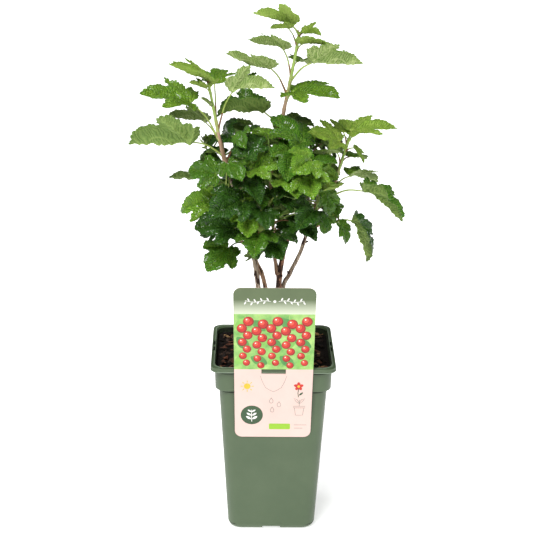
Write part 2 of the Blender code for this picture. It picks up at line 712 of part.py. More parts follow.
def fuse(name, pieces, material):
    """Join the stem, stalks and blades into one closed solid."""
    target = add_object(name, mesh_of(pieces[0], name), material)
    tools = collection(name + "_pieces")
    for number, piece in enumerate(pieces[1:]):
        add_object(f"{name}_{number}", mesh_of(piece, name), where=tools)
    modifier = target.modifiers.new("join", "BOOLEAN")
    modifier.operation = "UNION"
    modifier.operand_type = "COLLECTION"
    modifier.collection = tools
    modifier.solver = "MANIFOLD"
    bpy.context.view_layer.update()
    depsgraph = bpy.context.evaluated_depsgraph_get()
    joined = bpy.data.meshes.new_from_object(target.evaluated_get(depsgraph))
    target.modifiers.clear()
    target.data = joined
    for tool in list(tools.objects):
        bpy.data.objects.remove(tool, do_unlink=True)
    bpy.data.collections.remove(tools)
    keep_outer_skin(target)
    return target


def keep_outer_skin(target):
    """Drop sealed hollows and loose scraps: only the largest connected skin stays."""
    bm = bmesh.new()
    bm.from_mesh(target.data)
    bmesh.ops.remove_doubles(bm, verts=bm.verts, dist=1e-7)
    left = set(bm.verts)
    skins = []
    while left:
        front = [left.pop()]
        skin = set(front)
        while front:
            vert = front.pop()
            for edge in vert.link_edges:
                other = edge.other_vert(vert)
                if other in left:
                    left.discard(other)
                    skin.add(other)
                    front.append(other)
        skins.append(skin)
    skins.sort(key=len)
    for skin in skins[:-1]:
        bmesh.ops.delete(bm, geom=list(skin), context="VERTS")
    bm.to_mesh(target.data)
    bm.free()


build_pot()
build_soil()
card = build_card()

bark = principled("cane_bark", (0.19, 0.14, 0.10), 0.80)
cane_paths = {name: cane_path(name) for name in CANES}
limb_trees = []
for name, (path, radii) in cane_paths.items():
    shape = tube(path, radii, CANE_SIDES)
    add_object(name, mesh_of(shape, name), bark)
    limb_trees.append(tree_of(tube(path, [radius + CLEARANCE for radius in radii], CANE_SIDES)))

shoot_limbs = {}
limb_shapes = {}
stem_trees = {}
for name, shoot in SHOOTS.items():
    shoot_limbs[name] = [stem_path(shoot, cane_paths)]
    stem, radii = shoot_limbs[name][0]
    limb_shapes[name] = [tube(stem, radii, STEM_SIDES)]
    stem_trees[name] = [tree_of(tube(stem, [radius + CLEARANCE for radius in radii], STEM_SIDES))]
for number, (name, shoot) in enumerate(SHOOTS.items()):
    around = limb_trees + [tree for other in stem_trees for tree in stem_trees[other] if other != name]
    for twig, radii in side_twigs(shoot_limbs[name][0][0], shoot, number + 1, around):
        shoot_limbs[name].append((twig, radii))
        limb_shapes[name].append(tube(twig, radii, 3))
        stem_trees[name].append(tree_of(tube(twig, [radius + CLEARANCE for radius in radii], 3)))

corners = [vert.co.copy() for vert in card.data.vertices]
card_tree = tree_of((corners, [tuple(face.vertices) for face in card.data.polygons]))
plans = plan_leaves(shoot_limbs, stem_trees, limb_trees + [card_tree])

for name, leaves in plans.items():
    blades = [leaf_shape(frame, LEAF_THICK, STALK_WIDTH / 2) for frame in leaves]
    fuse(name, limb_shapes[name] + blades, principled(name, (0.10, 0.24, 0.05), 0.45))
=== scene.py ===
import math
import random

import bpy
import numpy as np
from mathutils import Matrix, Vector, noise
from mathutils.bvhtree import BVHTree
from mathutils.geometry import delaunay_2d_cdt


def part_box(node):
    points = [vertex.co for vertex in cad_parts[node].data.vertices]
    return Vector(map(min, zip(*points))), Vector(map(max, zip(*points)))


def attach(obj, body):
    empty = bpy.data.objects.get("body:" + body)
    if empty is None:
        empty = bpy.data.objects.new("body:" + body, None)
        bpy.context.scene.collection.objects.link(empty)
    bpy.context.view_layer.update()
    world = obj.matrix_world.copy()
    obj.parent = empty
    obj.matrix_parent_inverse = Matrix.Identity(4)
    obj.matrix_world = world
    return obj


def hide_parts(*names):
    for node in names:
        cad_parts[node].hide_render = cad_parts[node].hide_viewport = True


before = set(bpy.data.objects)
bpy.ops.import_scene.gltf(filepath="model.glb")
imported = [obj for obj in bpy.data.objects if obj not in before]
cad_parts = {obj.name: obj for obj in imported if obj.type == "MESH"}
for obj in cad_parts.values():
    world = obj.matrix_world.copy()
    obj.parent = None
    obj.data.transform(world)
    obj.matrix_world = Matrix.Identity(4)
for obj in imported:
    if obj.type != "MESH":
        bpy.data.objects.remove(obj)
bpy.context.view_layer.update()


# The pot is a tall square nursery pot, moulded in grey-green polypropylene with a satin skin.
# It has rounded corners, a rim folded down into a skirt, a collar above a small step, and a
# foot with four channels that run in to a pad in the middle.
POT_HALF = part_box("pot")[1].x
POT_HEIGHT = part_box("pot")[1].z
POT_WALL = 0.0012
RIM_RADIUS = 0.011
BODY_RADIUS = 0.013
RIM_SKIRT = 0.0053
RIM_BEAD = 0.0004
RIM_LIP = 0.0008
RIM_STEP = 0.0004
RIM_LINE = 0.0014
# Heights of the bands of painted shade under the skirt and below the step.
SKIRT_SHADE_DEPTH = 0.0026
STEP_SHADE = 0.0011
COLLAR_HALF = 0.0607
COLLAR_DRAFT = 0.0006
COLLAR_HEIGHT = 0.0275
STEP_HEIGHT = 0.0020
BODY_TOP_HALF = 0.0562
BODY_FOOT_HALF = 0.0467
FOOT_CHAMFER = 0.0058
CHANNEL_WIDTH = 0.0190
CHANNEL_HEIGHT = 0.0038
CENTRE_PAD = 0.030
DRAIN_WIDTH = 0.0036
DRAIN_LENGTH = 0.013
RIM_HOLE_WIDTH = 0.0019
RIM_HOLE_LENGTH = 0.0125
RIM_HOLE_PITCH = 0.0160
RIM_HOLE_DEPTH = 0.0010
POT_CORNER_STEPS = 12
POT_EASE = 0.0007
POT_EASE_STEPS = 3


def paint(red, green, blue):
    """A screen colour, 0 to 255 a channel, as the linear colour that a shader takes."""
    linear = [((level / 255 + 0.055) / 1.055) ** 2.4 for level in (red, green, blue)]
    return (*linear, 1.0)


def new_group(name, inputs, outputs):
    """A shader node group with its named sockets, its inner inputs and its inner outputs."""
    group = bpy.data.node_groups.new(name, "ShaderNodeTree")
    for label, kind, value in inputs:
        socket = group.interface.new_socket(label, in_out="INPUT", socket_type=kind)
        socket.default_value = value
    for label, kind in outputs:
        group.interface.new_socket(label, in_out="OUTPUT", socket_type=kind)
    return group, group.nodes.new("NodeGroupInput"), group.nodes.new("NodeGroupOutput")


def mottle_group():
    """Two colours that drift into each other, as weather, growth and dust leave them."""
    group, given, made = new_group("mottle", [
        ("Light", "NodeSocketColor", (0.5, 0.5, 0.5, 1.0)),
        ("Dark", "NodeSocketColor", (0.2, 0.2, 0.2, 1.0)),
        ("Scale", "NodeSocketFloat", 40.0),
        ("Stretch", "NodeSocketVector", (1.0, 1.0, 1.0)),
    ], [("Color", "NodeSocketColor"), ("Mask", "NodeSocketFloat")])
    nodes, links = group.nodes, group.links
    place = nodes.new("ShaderNodeTexCoord")
    mapping = nodes.new("ShaderNodeMapping")
    cloud = nodes.new("ShaderNodeTexNoise")
    cloud.inputs["Detail"].default_value = 5.0
    cloud.inputs["Roughness"].default_value = 0.62
    ramp = nodes.new("ShaderNodeMapRange")
    ramp.inputs["From Min"].default_value = 0.34
    ramp.inputs["From Max"].default_value = 0.66
    mix = nodes.new("ShaderNodeMix")
    mix.data_type = "RGBA"
    links.new(place.outputs["Object"], mapping.inputs["Vector"])
    links.new(given.outputs["Stretch"], mapping.inputs["Scale"])
    links.new(mapping.outputs["Vector"], cloud.inputs["Vector"])
    links.new(given.outputs["Scale"], cloud.inputs["Scale"])
    links.new(cloud.outputs["Fac"], ramp.inputs["Value"])
    links.new(ramp.outputs["Result"], mix.inputs["Factor"])
    links.new(given.outputs["Light"], mix.inputs["A"])
    links.new(given.outputs["Dark"], mix.inputs["B"])
    links.new(mix.outputs["Result"], made.inputs["Color"])
    links.new(ramp.outputs["Result"], made.inputs["Mask"])
    return group


def grain_group():
    """The fine relief of a skin, and the roughness that goes with its highs and lows."""
    group, given, made = new_group("grain", [
        ("Scale", "NodeSocketFloat", 400.0),
        ("Stretch", "NodeSocketVector", (1.0, 1.0, 1.0)),
        ("Smooth", "NodeSocketFloat", 0.4),
        ("Rough", "NodeSocketFloat", 0.6),
    ], [("Height", "NodeSocketFloat"), ("Roughness", "NodeSocketFloat")])
    nodes, links = group.nodes, group.links
    place = nodes.new("ShaderNodeTexCoord")
    mapping = nodes.new("ShaderNodeMapping")
    relief = nodes.new("ShaderNodeTexNoise")
    relief.inputs["Detail"].default_value = 6.0
    relief.inputs["Roughness"].default_value = 0.55
    worn = nodes.new("ShaderNodeMapRange")
    worn.inputs["From Min"].default_value = 0.3
    worn.inputs["From Max"].default_value = 0.7
    links.new(place.outputs["Object"], mapping.inputs["Vector"])
    links.new(given.outputs["Stretch"], mapping.inputs["Scale"])
    links.new(mapping.outputs["Vector"], relief.inputs["Vector"])
    links.new(given.outputs["Scale"], relief.inputs["Scale"])
    links.new(relief.outputs["Fac"], worn.inputs["Value"])
    links.new(given.outputs["Smooth"], worn.inputs["To Min"])
    links.new(given.outputs["Rough"], worn.inputs["To Max"])
    links.new(relief.outputs["Fac"], made.inputs["Height"])
    links.new(worn.outputs["Result"], made.inputs["Roughness"])
    return group


MOTTLE = mottle_group()
GRAIN = grain_group()


def surface(name, light, dark, patch, grain, smooth, rough, depth, stretch=(1, 1, 1), shine=0.5):
    """A material of two drifting colours with a fine relief; patch and grain are per metre."""
    material = bpy.data.materials.new(name)
    material.use_nodes = True
    nodes, links = material.node_tree.nodes, material.node_tree.links
    shader = nodes["Principled BSDF"]
    shader.inputs["Metallic"].default_value = 0.0
    shader.inputs["Specular IOR Level"].default_value = shine
    mottle = nodes.new("ShaderNodeGroup")
    mottle.node_tree = MOTTLE
    mottle.inputs["Light"].default_value = light
    mottle.inputs["Dark"].default_value = dark
    mottle.inputs["Scale"].default_value = patch
    mottle.inputs["Stretch"].default_value = stretch
    relief = nodes.new("ShaderNodeGroup")
    relief.node_tree = GRAIN
    relief.inputs["Scale"].default_value = grain
    relief.inputs["Stretch"].default_value = stretch
    relief.inputs["Smooth"].default_value = smooth
    relief.inputs["Rough"].default_value = rough
    bump = nodes.new("ShaderNodeBump")
    bump.inputs["Strength"].default_value = 1.0
    bump.inputs["Distance"].default_value = depth
    links.new(mottle.outputs["Color"], shader.inputs["Base Color"])
    links.new(relief.outputs["Roughness"], shader.inputs["Roughness"])
    links.new(relief.outputs["Height"], bump.inputs["Height"])
    links.new(bump.outputs["Normal"], shader.inputs["Normal"])
    material.diffuse_color = light
    return material


def mesh_from(name, verts, faces, looks=(), looks_of=None, smooth_below=None):
    """A mesh from corners and faces, with its materials dealt out face by face."""
    mesh = bpy.data.meshes.new(name)
    mesh.from_pydata([tuple(vert) for vert in verts], [], faces)
    for look in looks:
        mesh.materials.append(look)
    if looks_of is not None:
        mesh.polygons.foreach_set("material_index", looks_of)
    if smooth_below is not None:
        mesh.shade_smooth()
        mesh.set_sharp_from_angle(angle=math.radians(smooth_below))
    mesh.update()
    return mesh


def place(name, mesh, slot, *nodes):
    """The finished piece: it rides on the part and stands for its nodes. The slot argument is not used."""
    piece = bpy.data.objects.new(name, mesh)
    bpy.context.scene.collection.objects.link(piece)
    if nodes:
        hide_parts(*nodes)
    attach(piece, "root")
    return piece


def rounded_square(half, radius, corner_steps, side_steps):
    """The corners (x, y) of a square ring with round corners, anticlockwise."""
    reach = half - radius
    ring = []
    for corner in range(4):
        start = corner * math.pi / 2
        cx = reach * math.sqrt(2) * math.cos(start + math.pi / 4)
        cy = reach * math.sqrt(2) * math.sin(start + math.pi / 4)
        for step in range(corner_steps + 1):
            angle = start + step / corner_steps * math.pi / 2
            ring.append((cx + radius * math.cos(angle), cy + radius * math.sin(angle)))
        x, y = ring[-1]
        for step in range(1, side_steps):
            run = step / side_steps * 2 * reach
            ring.append((x - math.cos(start) * run, y - math.sin(start) * run))
    return ring


def skin(rings):
    """The faces of a closed body whose rings have the same count of points, low to high."""
    count = len(rings[0])
    verts = [point for ring in rings for point in ring]
    faces = []
    for level in range(len(rings) - 1):
        for i in range(count):
            j = (i + 1) % count
            low, high = level * count, (level + 1) * count
            faces.append((low + i, low + j, high + j, high + i))
    faces.append(tuple(range(count))[::-1])
    faces.append(tuple(range(len(verts) - count, len(verts))))
    return verts, faces


def eased(profile, cut, steps):
    """The profile with every corner between its ends rounded off."""
    points = [np.array(point, float) for point in profile]
    out = [points[0]]
    for before, here, after in zip(points, points[1:], points[2:]):
        to_before = before - here
        to_after = after - here
        reach = min(cut, 0.45 * np.linalg.norm(to_before), 0.45 * np.linalg.norm(to_after))
        start = here + to_before / np.linalg.norm(to_before) * reach
        end = here + to_after / np.linalg.norm(to_after) * reach
        for step in range(steps + 1):
            t = step / steps
            out.append(start * (1 - t) ** 2 + here * 2 * t * (1 - t) + end * t ** 2)
    out.append(points[-1])
    return out


def pot_outside():
    under_flange = POT_HEIGHT - POT_WALL
    skirt_low = POT_HEIGHT - RIM_SKIRT
    step_top = POT_HEIGHT - COLLAR_HEIGHT
    return [
        (BODY_FOOT_HALF - FOOT_CHAMFER, BODY_RADIUS, 0.0),
        (BODY_FOOT_HALF - FOOT_CHAMFER * 0.3, BODY_RADIUS, FOOT_CHAMFER * 0.3),
        (BODY_FOOT_HALF, BODY_RADIUS, FOOT_CHAMFER),
        # This ring bounds the band of painted shade at the step.
        (BODY_TOP_HALF, BODY_RADIUS, step_top - STEP_HEIGHT - STEP_SHADE),
        (BODY_TOP_HALF, BODY_RADIUS, step_top - STEP_HEIGHT),
        (COLLAR_HALF - COLLAR_DRAFT, BODY_RADIUS, step_top),
        # This ring bounds the band of painted shade under the skirt.
        (COLLAR_HALF, BODY_RADIUS, skirt_low - SKIRT_SHADE_DEPTH),
        (COLLAR_HALF, BODY_RADIUS, under_flange),
        (POT_HALF - POT_WALL, RIM_RADIUS, under_flange),
        (POT_HALF - POT_WALL, RIM_RADIUS, skirt_low),
        (POT_HALF, RIM_RADIUS, skirt_low),
        (POT_HALF, RIM_RADIUS, skirt_low + POT_WALL),
        (POT_HALF - RIM_BEAD, RIM_RADIUS, skirt_low + 1.4 * POT_WALL),
        (POT_HALF - RIM_BEAD, RIM_RADIUS, POT_HEIGHT - RIM_LIP),
        (POT_HALF - RIM_LIP - RIM_BEAD, RIM_RADIUS, POT_HEIGHT - RIM_STEP),
        (COLLAR_HALF + RIM_LINE, RIM_RADIUS, POT_HEIGHT - RIM_STEP),
        (COLLAR_HALF + 0.7 * RIM_LINE, RIM_RADIUS, POT_HEIGHT),
        (COLLAR_HALF, RIM_RADIUS, POT_HEIGHT),
    ]


def inner_sections(shrink, low, high):
    """The inside of the pot's wall from low to high, set in by shrink."""
    inset = POT_WALL + shrink
    radius = BODY_RADIUS - inset
    step_top = POT_HEIGHT - COLLAR_HEIGHT
    low_collar = COLLAR_HALF - COLLAR_DRAFT - inset
    top_collar = low_collar + COLLAR_DRAFT * (high - step_top) / COLLAR_HEIGHT
    return [
        (BODY_FOOT_HALF - inset, radius, low),
        (BODY_TOP_HALF - inset, radius, step_top - STEP_HEIGHT + shrink),
        (low_collar, radius, step_top + shrink),
        (top_collar, radius, high),
    ]


def ring_at(half, radius, z, corner_steps, side_steps):
    return [(x, y, z) for x, y in rounded_square(half, radius, corner_steps, side_steps)]


def tool_boxes(name, boxes):
    """Boxes that don't touch each other, as one hidden cutter."""
    verts = []
    faces = []
    for centre, size in boxes:
        first = len(verts)
        for x in (-0.5, 0.5):
            for y in (-0.5, 0.5):
                for z in (-0.5, 0.5):
                    verts.append((centre[0] + x * size[0], centre[1] + y * size[1], centre[2] + z * size[2]))
        for face in ((0, 1, 3, 2), (4, 6, 7, 5), (0, 4, 5, 1), (2, 3, 7, 6), (0, 2, 6, 4), (1, 5, 7, 3)):
            faces.append(tuple(first + i for i in face))
    return bpy.data.objects.new(name, mesh_from(name, verts, faces))


def cut_away(mesh, tools):
    """The mesh after each tool has been cut out of it."""
    blank = bpy.data.objects.new("blank", mesh)
    bpy.context.scene.collection.objects.link(blank)
    for tool in tools:
        bpy.context.scene.collection.objects.link(tool)
        modifier = blank.modifiers.new(tool.name, "BOOLEAN")
        modifier.operation = "DIFFERENCE"
        modifier.object = tool
    bpy.context.view_layer.update()
    depsgraph = bpy.context.evaluated_depsgraph_get()
    cut = bpy.data.meshes.new_from_object(blank.evaluated_get(depsgraph))
    for old in [blank] + list(tools):
        bpy.data.objects.remove(old, do_unlink=True)
    return cut


def half_of(x, y, radius):
    """Half the width of the square ring with round corners that runs through (x, y)."""
    far, near = max(abs(x), abs(y)), min(abs(x), abs(y))
    if near <= far - radius:
        return far
    total = far + near
    reach = (total - math.sqrt(max(0.0, total ** 2 - 2 * (far ** 2 + near ** 2 - radius ** 2)))) / 2
    return reach + radius


def pot_look(centre):
    """Painted highlights pale the rim's inner edge and the skirt's lower bead, soil stain and painted shade darken the
    inside, and painted shade darkens the band under the skirt, the step and the rim holes' floors.
    """
    skirt_low = POT_HEIGHT - RIM_SKIRT
    step_low = POT_HEIGHT - COLLAR_HEIGHT - STEP_HEIGHT
    half = half_of(centre.x, centre.y, RIM_RADIUS)
    # Painted highlight: the rim's inner edge is paler, for the light it catches.
    if centre.z > POT_HEIGHT - 0.9 * RIM_STEP and half < COLLAR_HALF + RIM_LINE:
        return "edge"
    # Painted highlight: the skirt's lower bead is paler.
    if half > POT_HALF - RIM_BEAD / 2 and centre.z < skirt_low + POT_WALL:
        return "edge"
    # Painted shade: the floors of the blind rim holes are near black, for the shade seen through the slots.
    if abs(centre.z - POT_HEIGHT + RIM_HOLE_DEPTH) < RIM_STEP / 4 and abs(centre.y) < RIM_HOLE_PITCH:
        return "hole_shade"
    if CHANNEL_HEIGHT + POT_WALL / 2 < centre.z < POT_HEIGHT - 2.9 * RIM_LIP:
        wall = BODY_TOP_HALF + (BODY_FOOT_HALF - BODY_TOP_HALF) * (1 - centre.z / step_low)
        # The inside wall is darker: soil stain and painted shade.
        if half < (wall if centre.z < step_low else COLLAR_HALF - COLLAR_DRAFT) - 0.7 * POT_WALL:
            return "stain_and_shade"
        # Painted shade: a band of the collar under the skirt is darker.
        if half < POT_HALF - 1.5 * POT_WALL and centre.z > skirt_low - SKIRT_SHADE_DEPTH:
            return "shaded"
        # Painted shade: a dark line at the step below the collar.
        if -STEP_SHADE < centre.z - step_low < STEP_HEIGHT / 2:
            return "shaded"
    return "plastic"


def build_pot():
    floor_top = CHANNEL_HEIGHT + POT_WALL
    inside = inner_sections(0.0, floor_top, POT_HEIGHT - 3 * RIM_LIP)
    profile = eased(pot_outside() + inside[::-1], POT_EASE, POT_EASE_STEPS)
    verts, faces = skin([ring_at(*section, POT_CORNER_STEPS, 1) for section in profile])
    looks = {
        "plastic": surface("pot_plastic", paint(80, 98, 69), paint(74, 93, 64), 22, 900,
                           0.36, 0.50, 0.00006, shine=0.5),
        # Paler plastic: painted highlights on the rim's inner edge and the skirt's lower bead.
        "edge": surface("pot_painted_highlight", paint(118, 134, 112), paint(106, 124, 100), 60, 900,
                        0.30, 0.44, 0.00006, shine=0.5),
        # Darker plastic: painted shade under the skirt and at the step.
        "shaded": surface("pot_shaded", paint(46, 58, 40), paint(36, 46, 32), 60, 900,
                          0.5, 0.7, 0.00006, shine=0.3),
        # Darker inside wall: soil stain and painted shade.
        "stain_and_shade": surface("pot_stain_and_shade", paint(56, 70, 48), paint(30, 36, 26), 90, 900,
                           0.6, 0.8, 0.0001, shine=0.3),
        # Near black floors of the rim holes: painted shade.
        "hole_shade": surface("pot_hole_shade", paint(16, 20, 14), paint(10, 12, 9), 90, 900,
                          0.7, 0.9, 0.0001, shine=0.2),
    }
    outer_end = BODY_FOOT_HALF + CHANNEL_HEIGHT
    middle = (outer_end + CENTRE_PAD / 2) / 2
    channels = []
    drains = []
    for side, end in ((1, 0), (0, 1), (-1, 0), (0, -1)):
        length = outer_end - CENTRE_PAD / 2
        size = (length, CHANNEL_WIDTH) if side else (CHANNEL_WIDTH, length)
        slot = (DRAIN_LENGTH, DRAIN_WIDTH) if side else (DRAIN_WIDTH, DRAIN_LENGTH)
        channels.append(((side * middle, end * middle, 0.0), (*size, 2 * CHANNEL_HEIGHT)))
        drains.append(((side * middle, end * middle, CHANNEL_HEIGHT), (*slot, 6 * POT_WALL)))
    flange = (COLLAR_HALF + POT_HALF - POT_WALL) / 2
    holes = [((side * flange, end * RIM_HOLE_PITCH / 2, POT_HEIGHT),
              (RIM_HOLE_WIDTH, RIM_HOLE_LENGTH, 2 * RIM_HOLE_DEPTH)) for side in (-1, 1) for end in (-1, 1)]
    body = mesh_from("pot_body", verts, faces)
    cut = cut_away(body, [tool_boxes("channels", channels), tool_boxes("drains", drains),
                          tool_boxes("rim_holes", holes)])
    cut.materials.clear()
    names = list(looks)
    for look in looks.values():
        cut.materials.append(look)
    cut.polygons.foreach_set("material_index", [names.index(pot_look(face.center)) for face in cut.polygons])
    cut.shade_smooth()
    cut.set_sharp_from_angle(angle=math.radians(32))
    place("pot_moulding", cut, "pot_plastic", "pot")


build_pot()


# The soil is moist compost of fine bark, tipped in loose to a finger's breadth under the rim.
# It is one crumbly bed with chips of bark lying in it, most of them nearly black, some
# reddish brown and a few pale where the wood shows.
SOIL_TOP = round(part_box("soil")[1].z, 6)
SOIL_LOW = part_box("soil")[0].z
SOIL_HEAP = 0.0035
SOIL_LEVEL = SOIL_TOP + SOIL_HEAP
SOIL_GAP = 0.0003
SOIL_RINGS = 26
SOIL_ROUGHNESS = 0.0012
CHIP_COUNT = 420
CHIP_LENGTH = (0.004, 0.013)
CHIP_SHAPE = ((0.0, 0.30), (0.18, 0.85), (0.55, 1.0), (0.86, 0.8), (1.0, 0.35))
CHIP_SIDES = 7
CHIP_LOOKS = ("dark", "dark", "dark", "dark", "brown", "brown", "red", "red", "tan")


def build_soil():
    crumbs = surface("soil_crumbs", paint(23, 14, 9), paint(9, 5, 4), 260, 700, 0.7, 0.98, 0.0009,
                     shine=0.25)
    rings = [ring_at(*section, 6, 8) for section in
             inner_sections(SOIL_GAP, SOIL_LOW, SOIL_LEVEL - SOIL_ROUGHNESS)]
    half, radius, _ = inner_sections(SOIL_GAP, SOIL_LOW, SOIL_LEVEL)[-1]
    for ring in range(SOIL_RINGS):
        share = 1 - ring / SOIL_RINGS
        level = []
        for x, y in rounded_square(half, radius, 6, 8):
            spot = Vector((x * share, y * share, 0.0))
            lump = noise.noise(spot * 90) + 0.7 * noise.noise(spot * 260 + Vector((3, 5, 1)))
            level.append((x * share, y * share, SOIL_LEVEL - SOIL_ROUGHNESS + lump * SOIL_ROUGHNESS))
        rings.append(level)
    verts, faces = skin(rings)
    place("soil_bed", mesh_from("soil_bed", verts, faces, [crumbs], smooth_below=60), "soil", "soil")


def build_chips():
    looks = {
        "dark": surface("bark_chip_dark", paint(32, 20, 13), paint(12, 8, 6), 300, 900, 0.6, 0.95, 0.0004,
                        shine=0.3),
        "brown": surface("bark_chip_brown", paint(78, 52, 36), paint(34, 23, 17), 320, 900, 0.6, 0.95, 0.0004),
        "red": surface("bark_chip_red", paint(116, 66, 44), paint(58, 32, 22), 320, 900, 0.55, 0.9, 0.0004),
        "tan": surface("bark_chip_tan", paint(176, 140, 92), paint(120, 88, 56), 320, 900, 0.6, 0.9, 0.0004),
    }
    names = list(looks)
    verts = []
    faces = []
    looks_of = []
    dice = random.Random(7)
    half = COLLAR_HALF - POT_WALL
    for number in range(CHIP_COUNT):
        length = dice.uniform(*CHIP_LENGTH)
        width = length * dice.uniform(0.28, 0.55)
        thick = width * dice.uniform(0.3, 0.6)
        turn = Matrix.Rotation(dice.uniform(0, 2 * math.pi), 3, "Z")
        tilt = Matrix.Rotation(dice.gauss(0, 0.32), 3, "Y") @ Matrix.Rotation(dice.gauss(0, 0.3), 3, "X")
        reach = half - length * 0.62
        centre = Vector((dice.uniform(-reach, reach), dice.uniform(-reach, reach),
                         SOIL_LEVEL + dice.uniform(-0.0012, 0.0012)))
        first = len(verts)
        for t, swell in CHIP_SHAPE:
            for k in range(CHIP_SIDES):
                angle = 2 * math.pi * k / CHIP_SIDES
                rough = dice.uniform(0.72, 1.15) * swell
                spot = Vector(((t - 0.5) * length, math.cos(angle) * width / 2 * rough,
                               math.sin(angle) * thick / 2 * rough))
                verts.append(centre + turn @ (tilt @ spot))
        for ring in range(len(CHIP_SHAPE) - 1):
            for k in range(CHIP_SIDES):
                here = first + ring * CHIP_SIDES
                j = (k + 1) % CHIP_SIDES
                faces.append((here + k, here + CHIP_SIDES + k, here + CHIP_SIDES + j, here + j))
        faces.append(tuple(range(first, first + CHIP_SIDES)))
        faces.append(tuple(range(len(verts) - CHIP_SIDES, len(verts)))[::-1])
        looks_of += [names.index(dice.choice(CHIP_LOOKS))] * (len(faces) - len(looks_of))
    mesh = mesh_from("bark_chips", verts, faces, looks.values(), looks_of, smooth_below=38)
    place("bark_chips", mesh, "soil")


build_soil()
build_chips()


# The label is a stiff printed card that leans on the rim. Its tongue is folded back through the
# slot and hooks over the rim. The print is plain ornament: a green band, a field of leaves
# with strings of red roundels, and a cream panel with a few small garden drawings.
CARD_THICK = 0.0006
CARD_TOP_WIDTH = 0.083
CARD_FOOT_WIDTH = 0.079
CARD_CORNER = 0.0075
CARD_LOW = 0.1139
CARD_HIGH = 0.2881
CARD_LEAN = math.radians(8.5)
CARD_LENGTH = (CARD_HIGH - CARD_LOW) / math.cos(CARD_LEAN)
CARD_HOLD = POT_HEIGHT - RIM_SKIRT
CARD_GAP = 0.0003
SLOT_HALF = 0.0125
SLOT_LOW = (CARD_HOLD + CARD_GAP - CARD_LOW) / math.cos(CARD_LEAN)
SLOT_HIGH = (POT_HEIGHT + CARD_GAP - CARD_LOW) / math.cos(CARD_LEAN)
TAB_HALF = 0.0120
TAB_DROP = 0.010
BAND_LOW = 0.1466
INK_THICK = 0.00002
INK_STEP = 0.000002
STRING_COUNT = 5
STRING_PITCH = 0.0148
STRING_TOP = 0.1446
STRING_BERRIES = 7
BERRY_RADIUS = (0.0056, 0.0038)


def card_point(across, up, out):
    """A point by the card: across from its middle, up from its foot, out from its mid-plane."""
    hold_y = POT_HALF + CARD_GAP + CARD_THICK / 2 / math.cos(CARD_LEAN)
    foot_y = -hold_y + (CARD_HOLD - CARD_LOW) * math.tan(CARD_LEAN)
    return Vector((across, foot_y - up * math.sin(CARD_LEAN) - out * math.cos(CARD_LEAN),
                   CARD_LOW + up * math.cos(CARD_LEAN) - out * math.sin(CARD_LEAN)))


def card_half(up):
    return (CARD_FOOT_WIDTH + (CARD_TOP_WIDTH - CARD_FOOT_WIDTH) * up / CARD_LENGTH) / 2


def arc(cx, cy, radius, start, end, steps):
    """Points on an arc, angles in degrees."""
    angles = [math.radians(start + (end - start) * step / steps) for step in range(steps + 1)]
    return [(cx + radius * math.cos(angle), cy + radius * math.sin(angle)) for angle in angles]


def card_outline():
    low = CARD_CORNER
    high = CARD_LENGTH - CARD_CORNER
    foot = CARD_FOOT_WIDTH / 2 - CARD_CORNER
    top = CARD_TOP_WIDTH / 2 - CARD_CORNER
    return (arc(foot, low, CARD_CORNER, -90, 0, 8) + arc(top, high, CARD_CORNER, 0, 90, 8)
            + arc(-top, high, CARD_CORNER, 90, 180, 8) + arc(-foot, low, CARD_CORNER, 180, 270, 8))


def add_plate(verts, faces, loop, low, high):
    """A thin closed plate of the loop's shape, between two distances out from the card."""
    first = len(verts)
    count = len(loop)
    for out in (low, high):
        verts += [card_point(across, up, out) for across, up in loop]
    faces.append(tuple(first + count + i for i in range(count)))
    faces.append(tuple(first + i for i in range(count))[::-1])
    for i in range(count):
        j = (i + 1) % count
        faces.append((first + i, first + j, first + count + j, first + count + i))


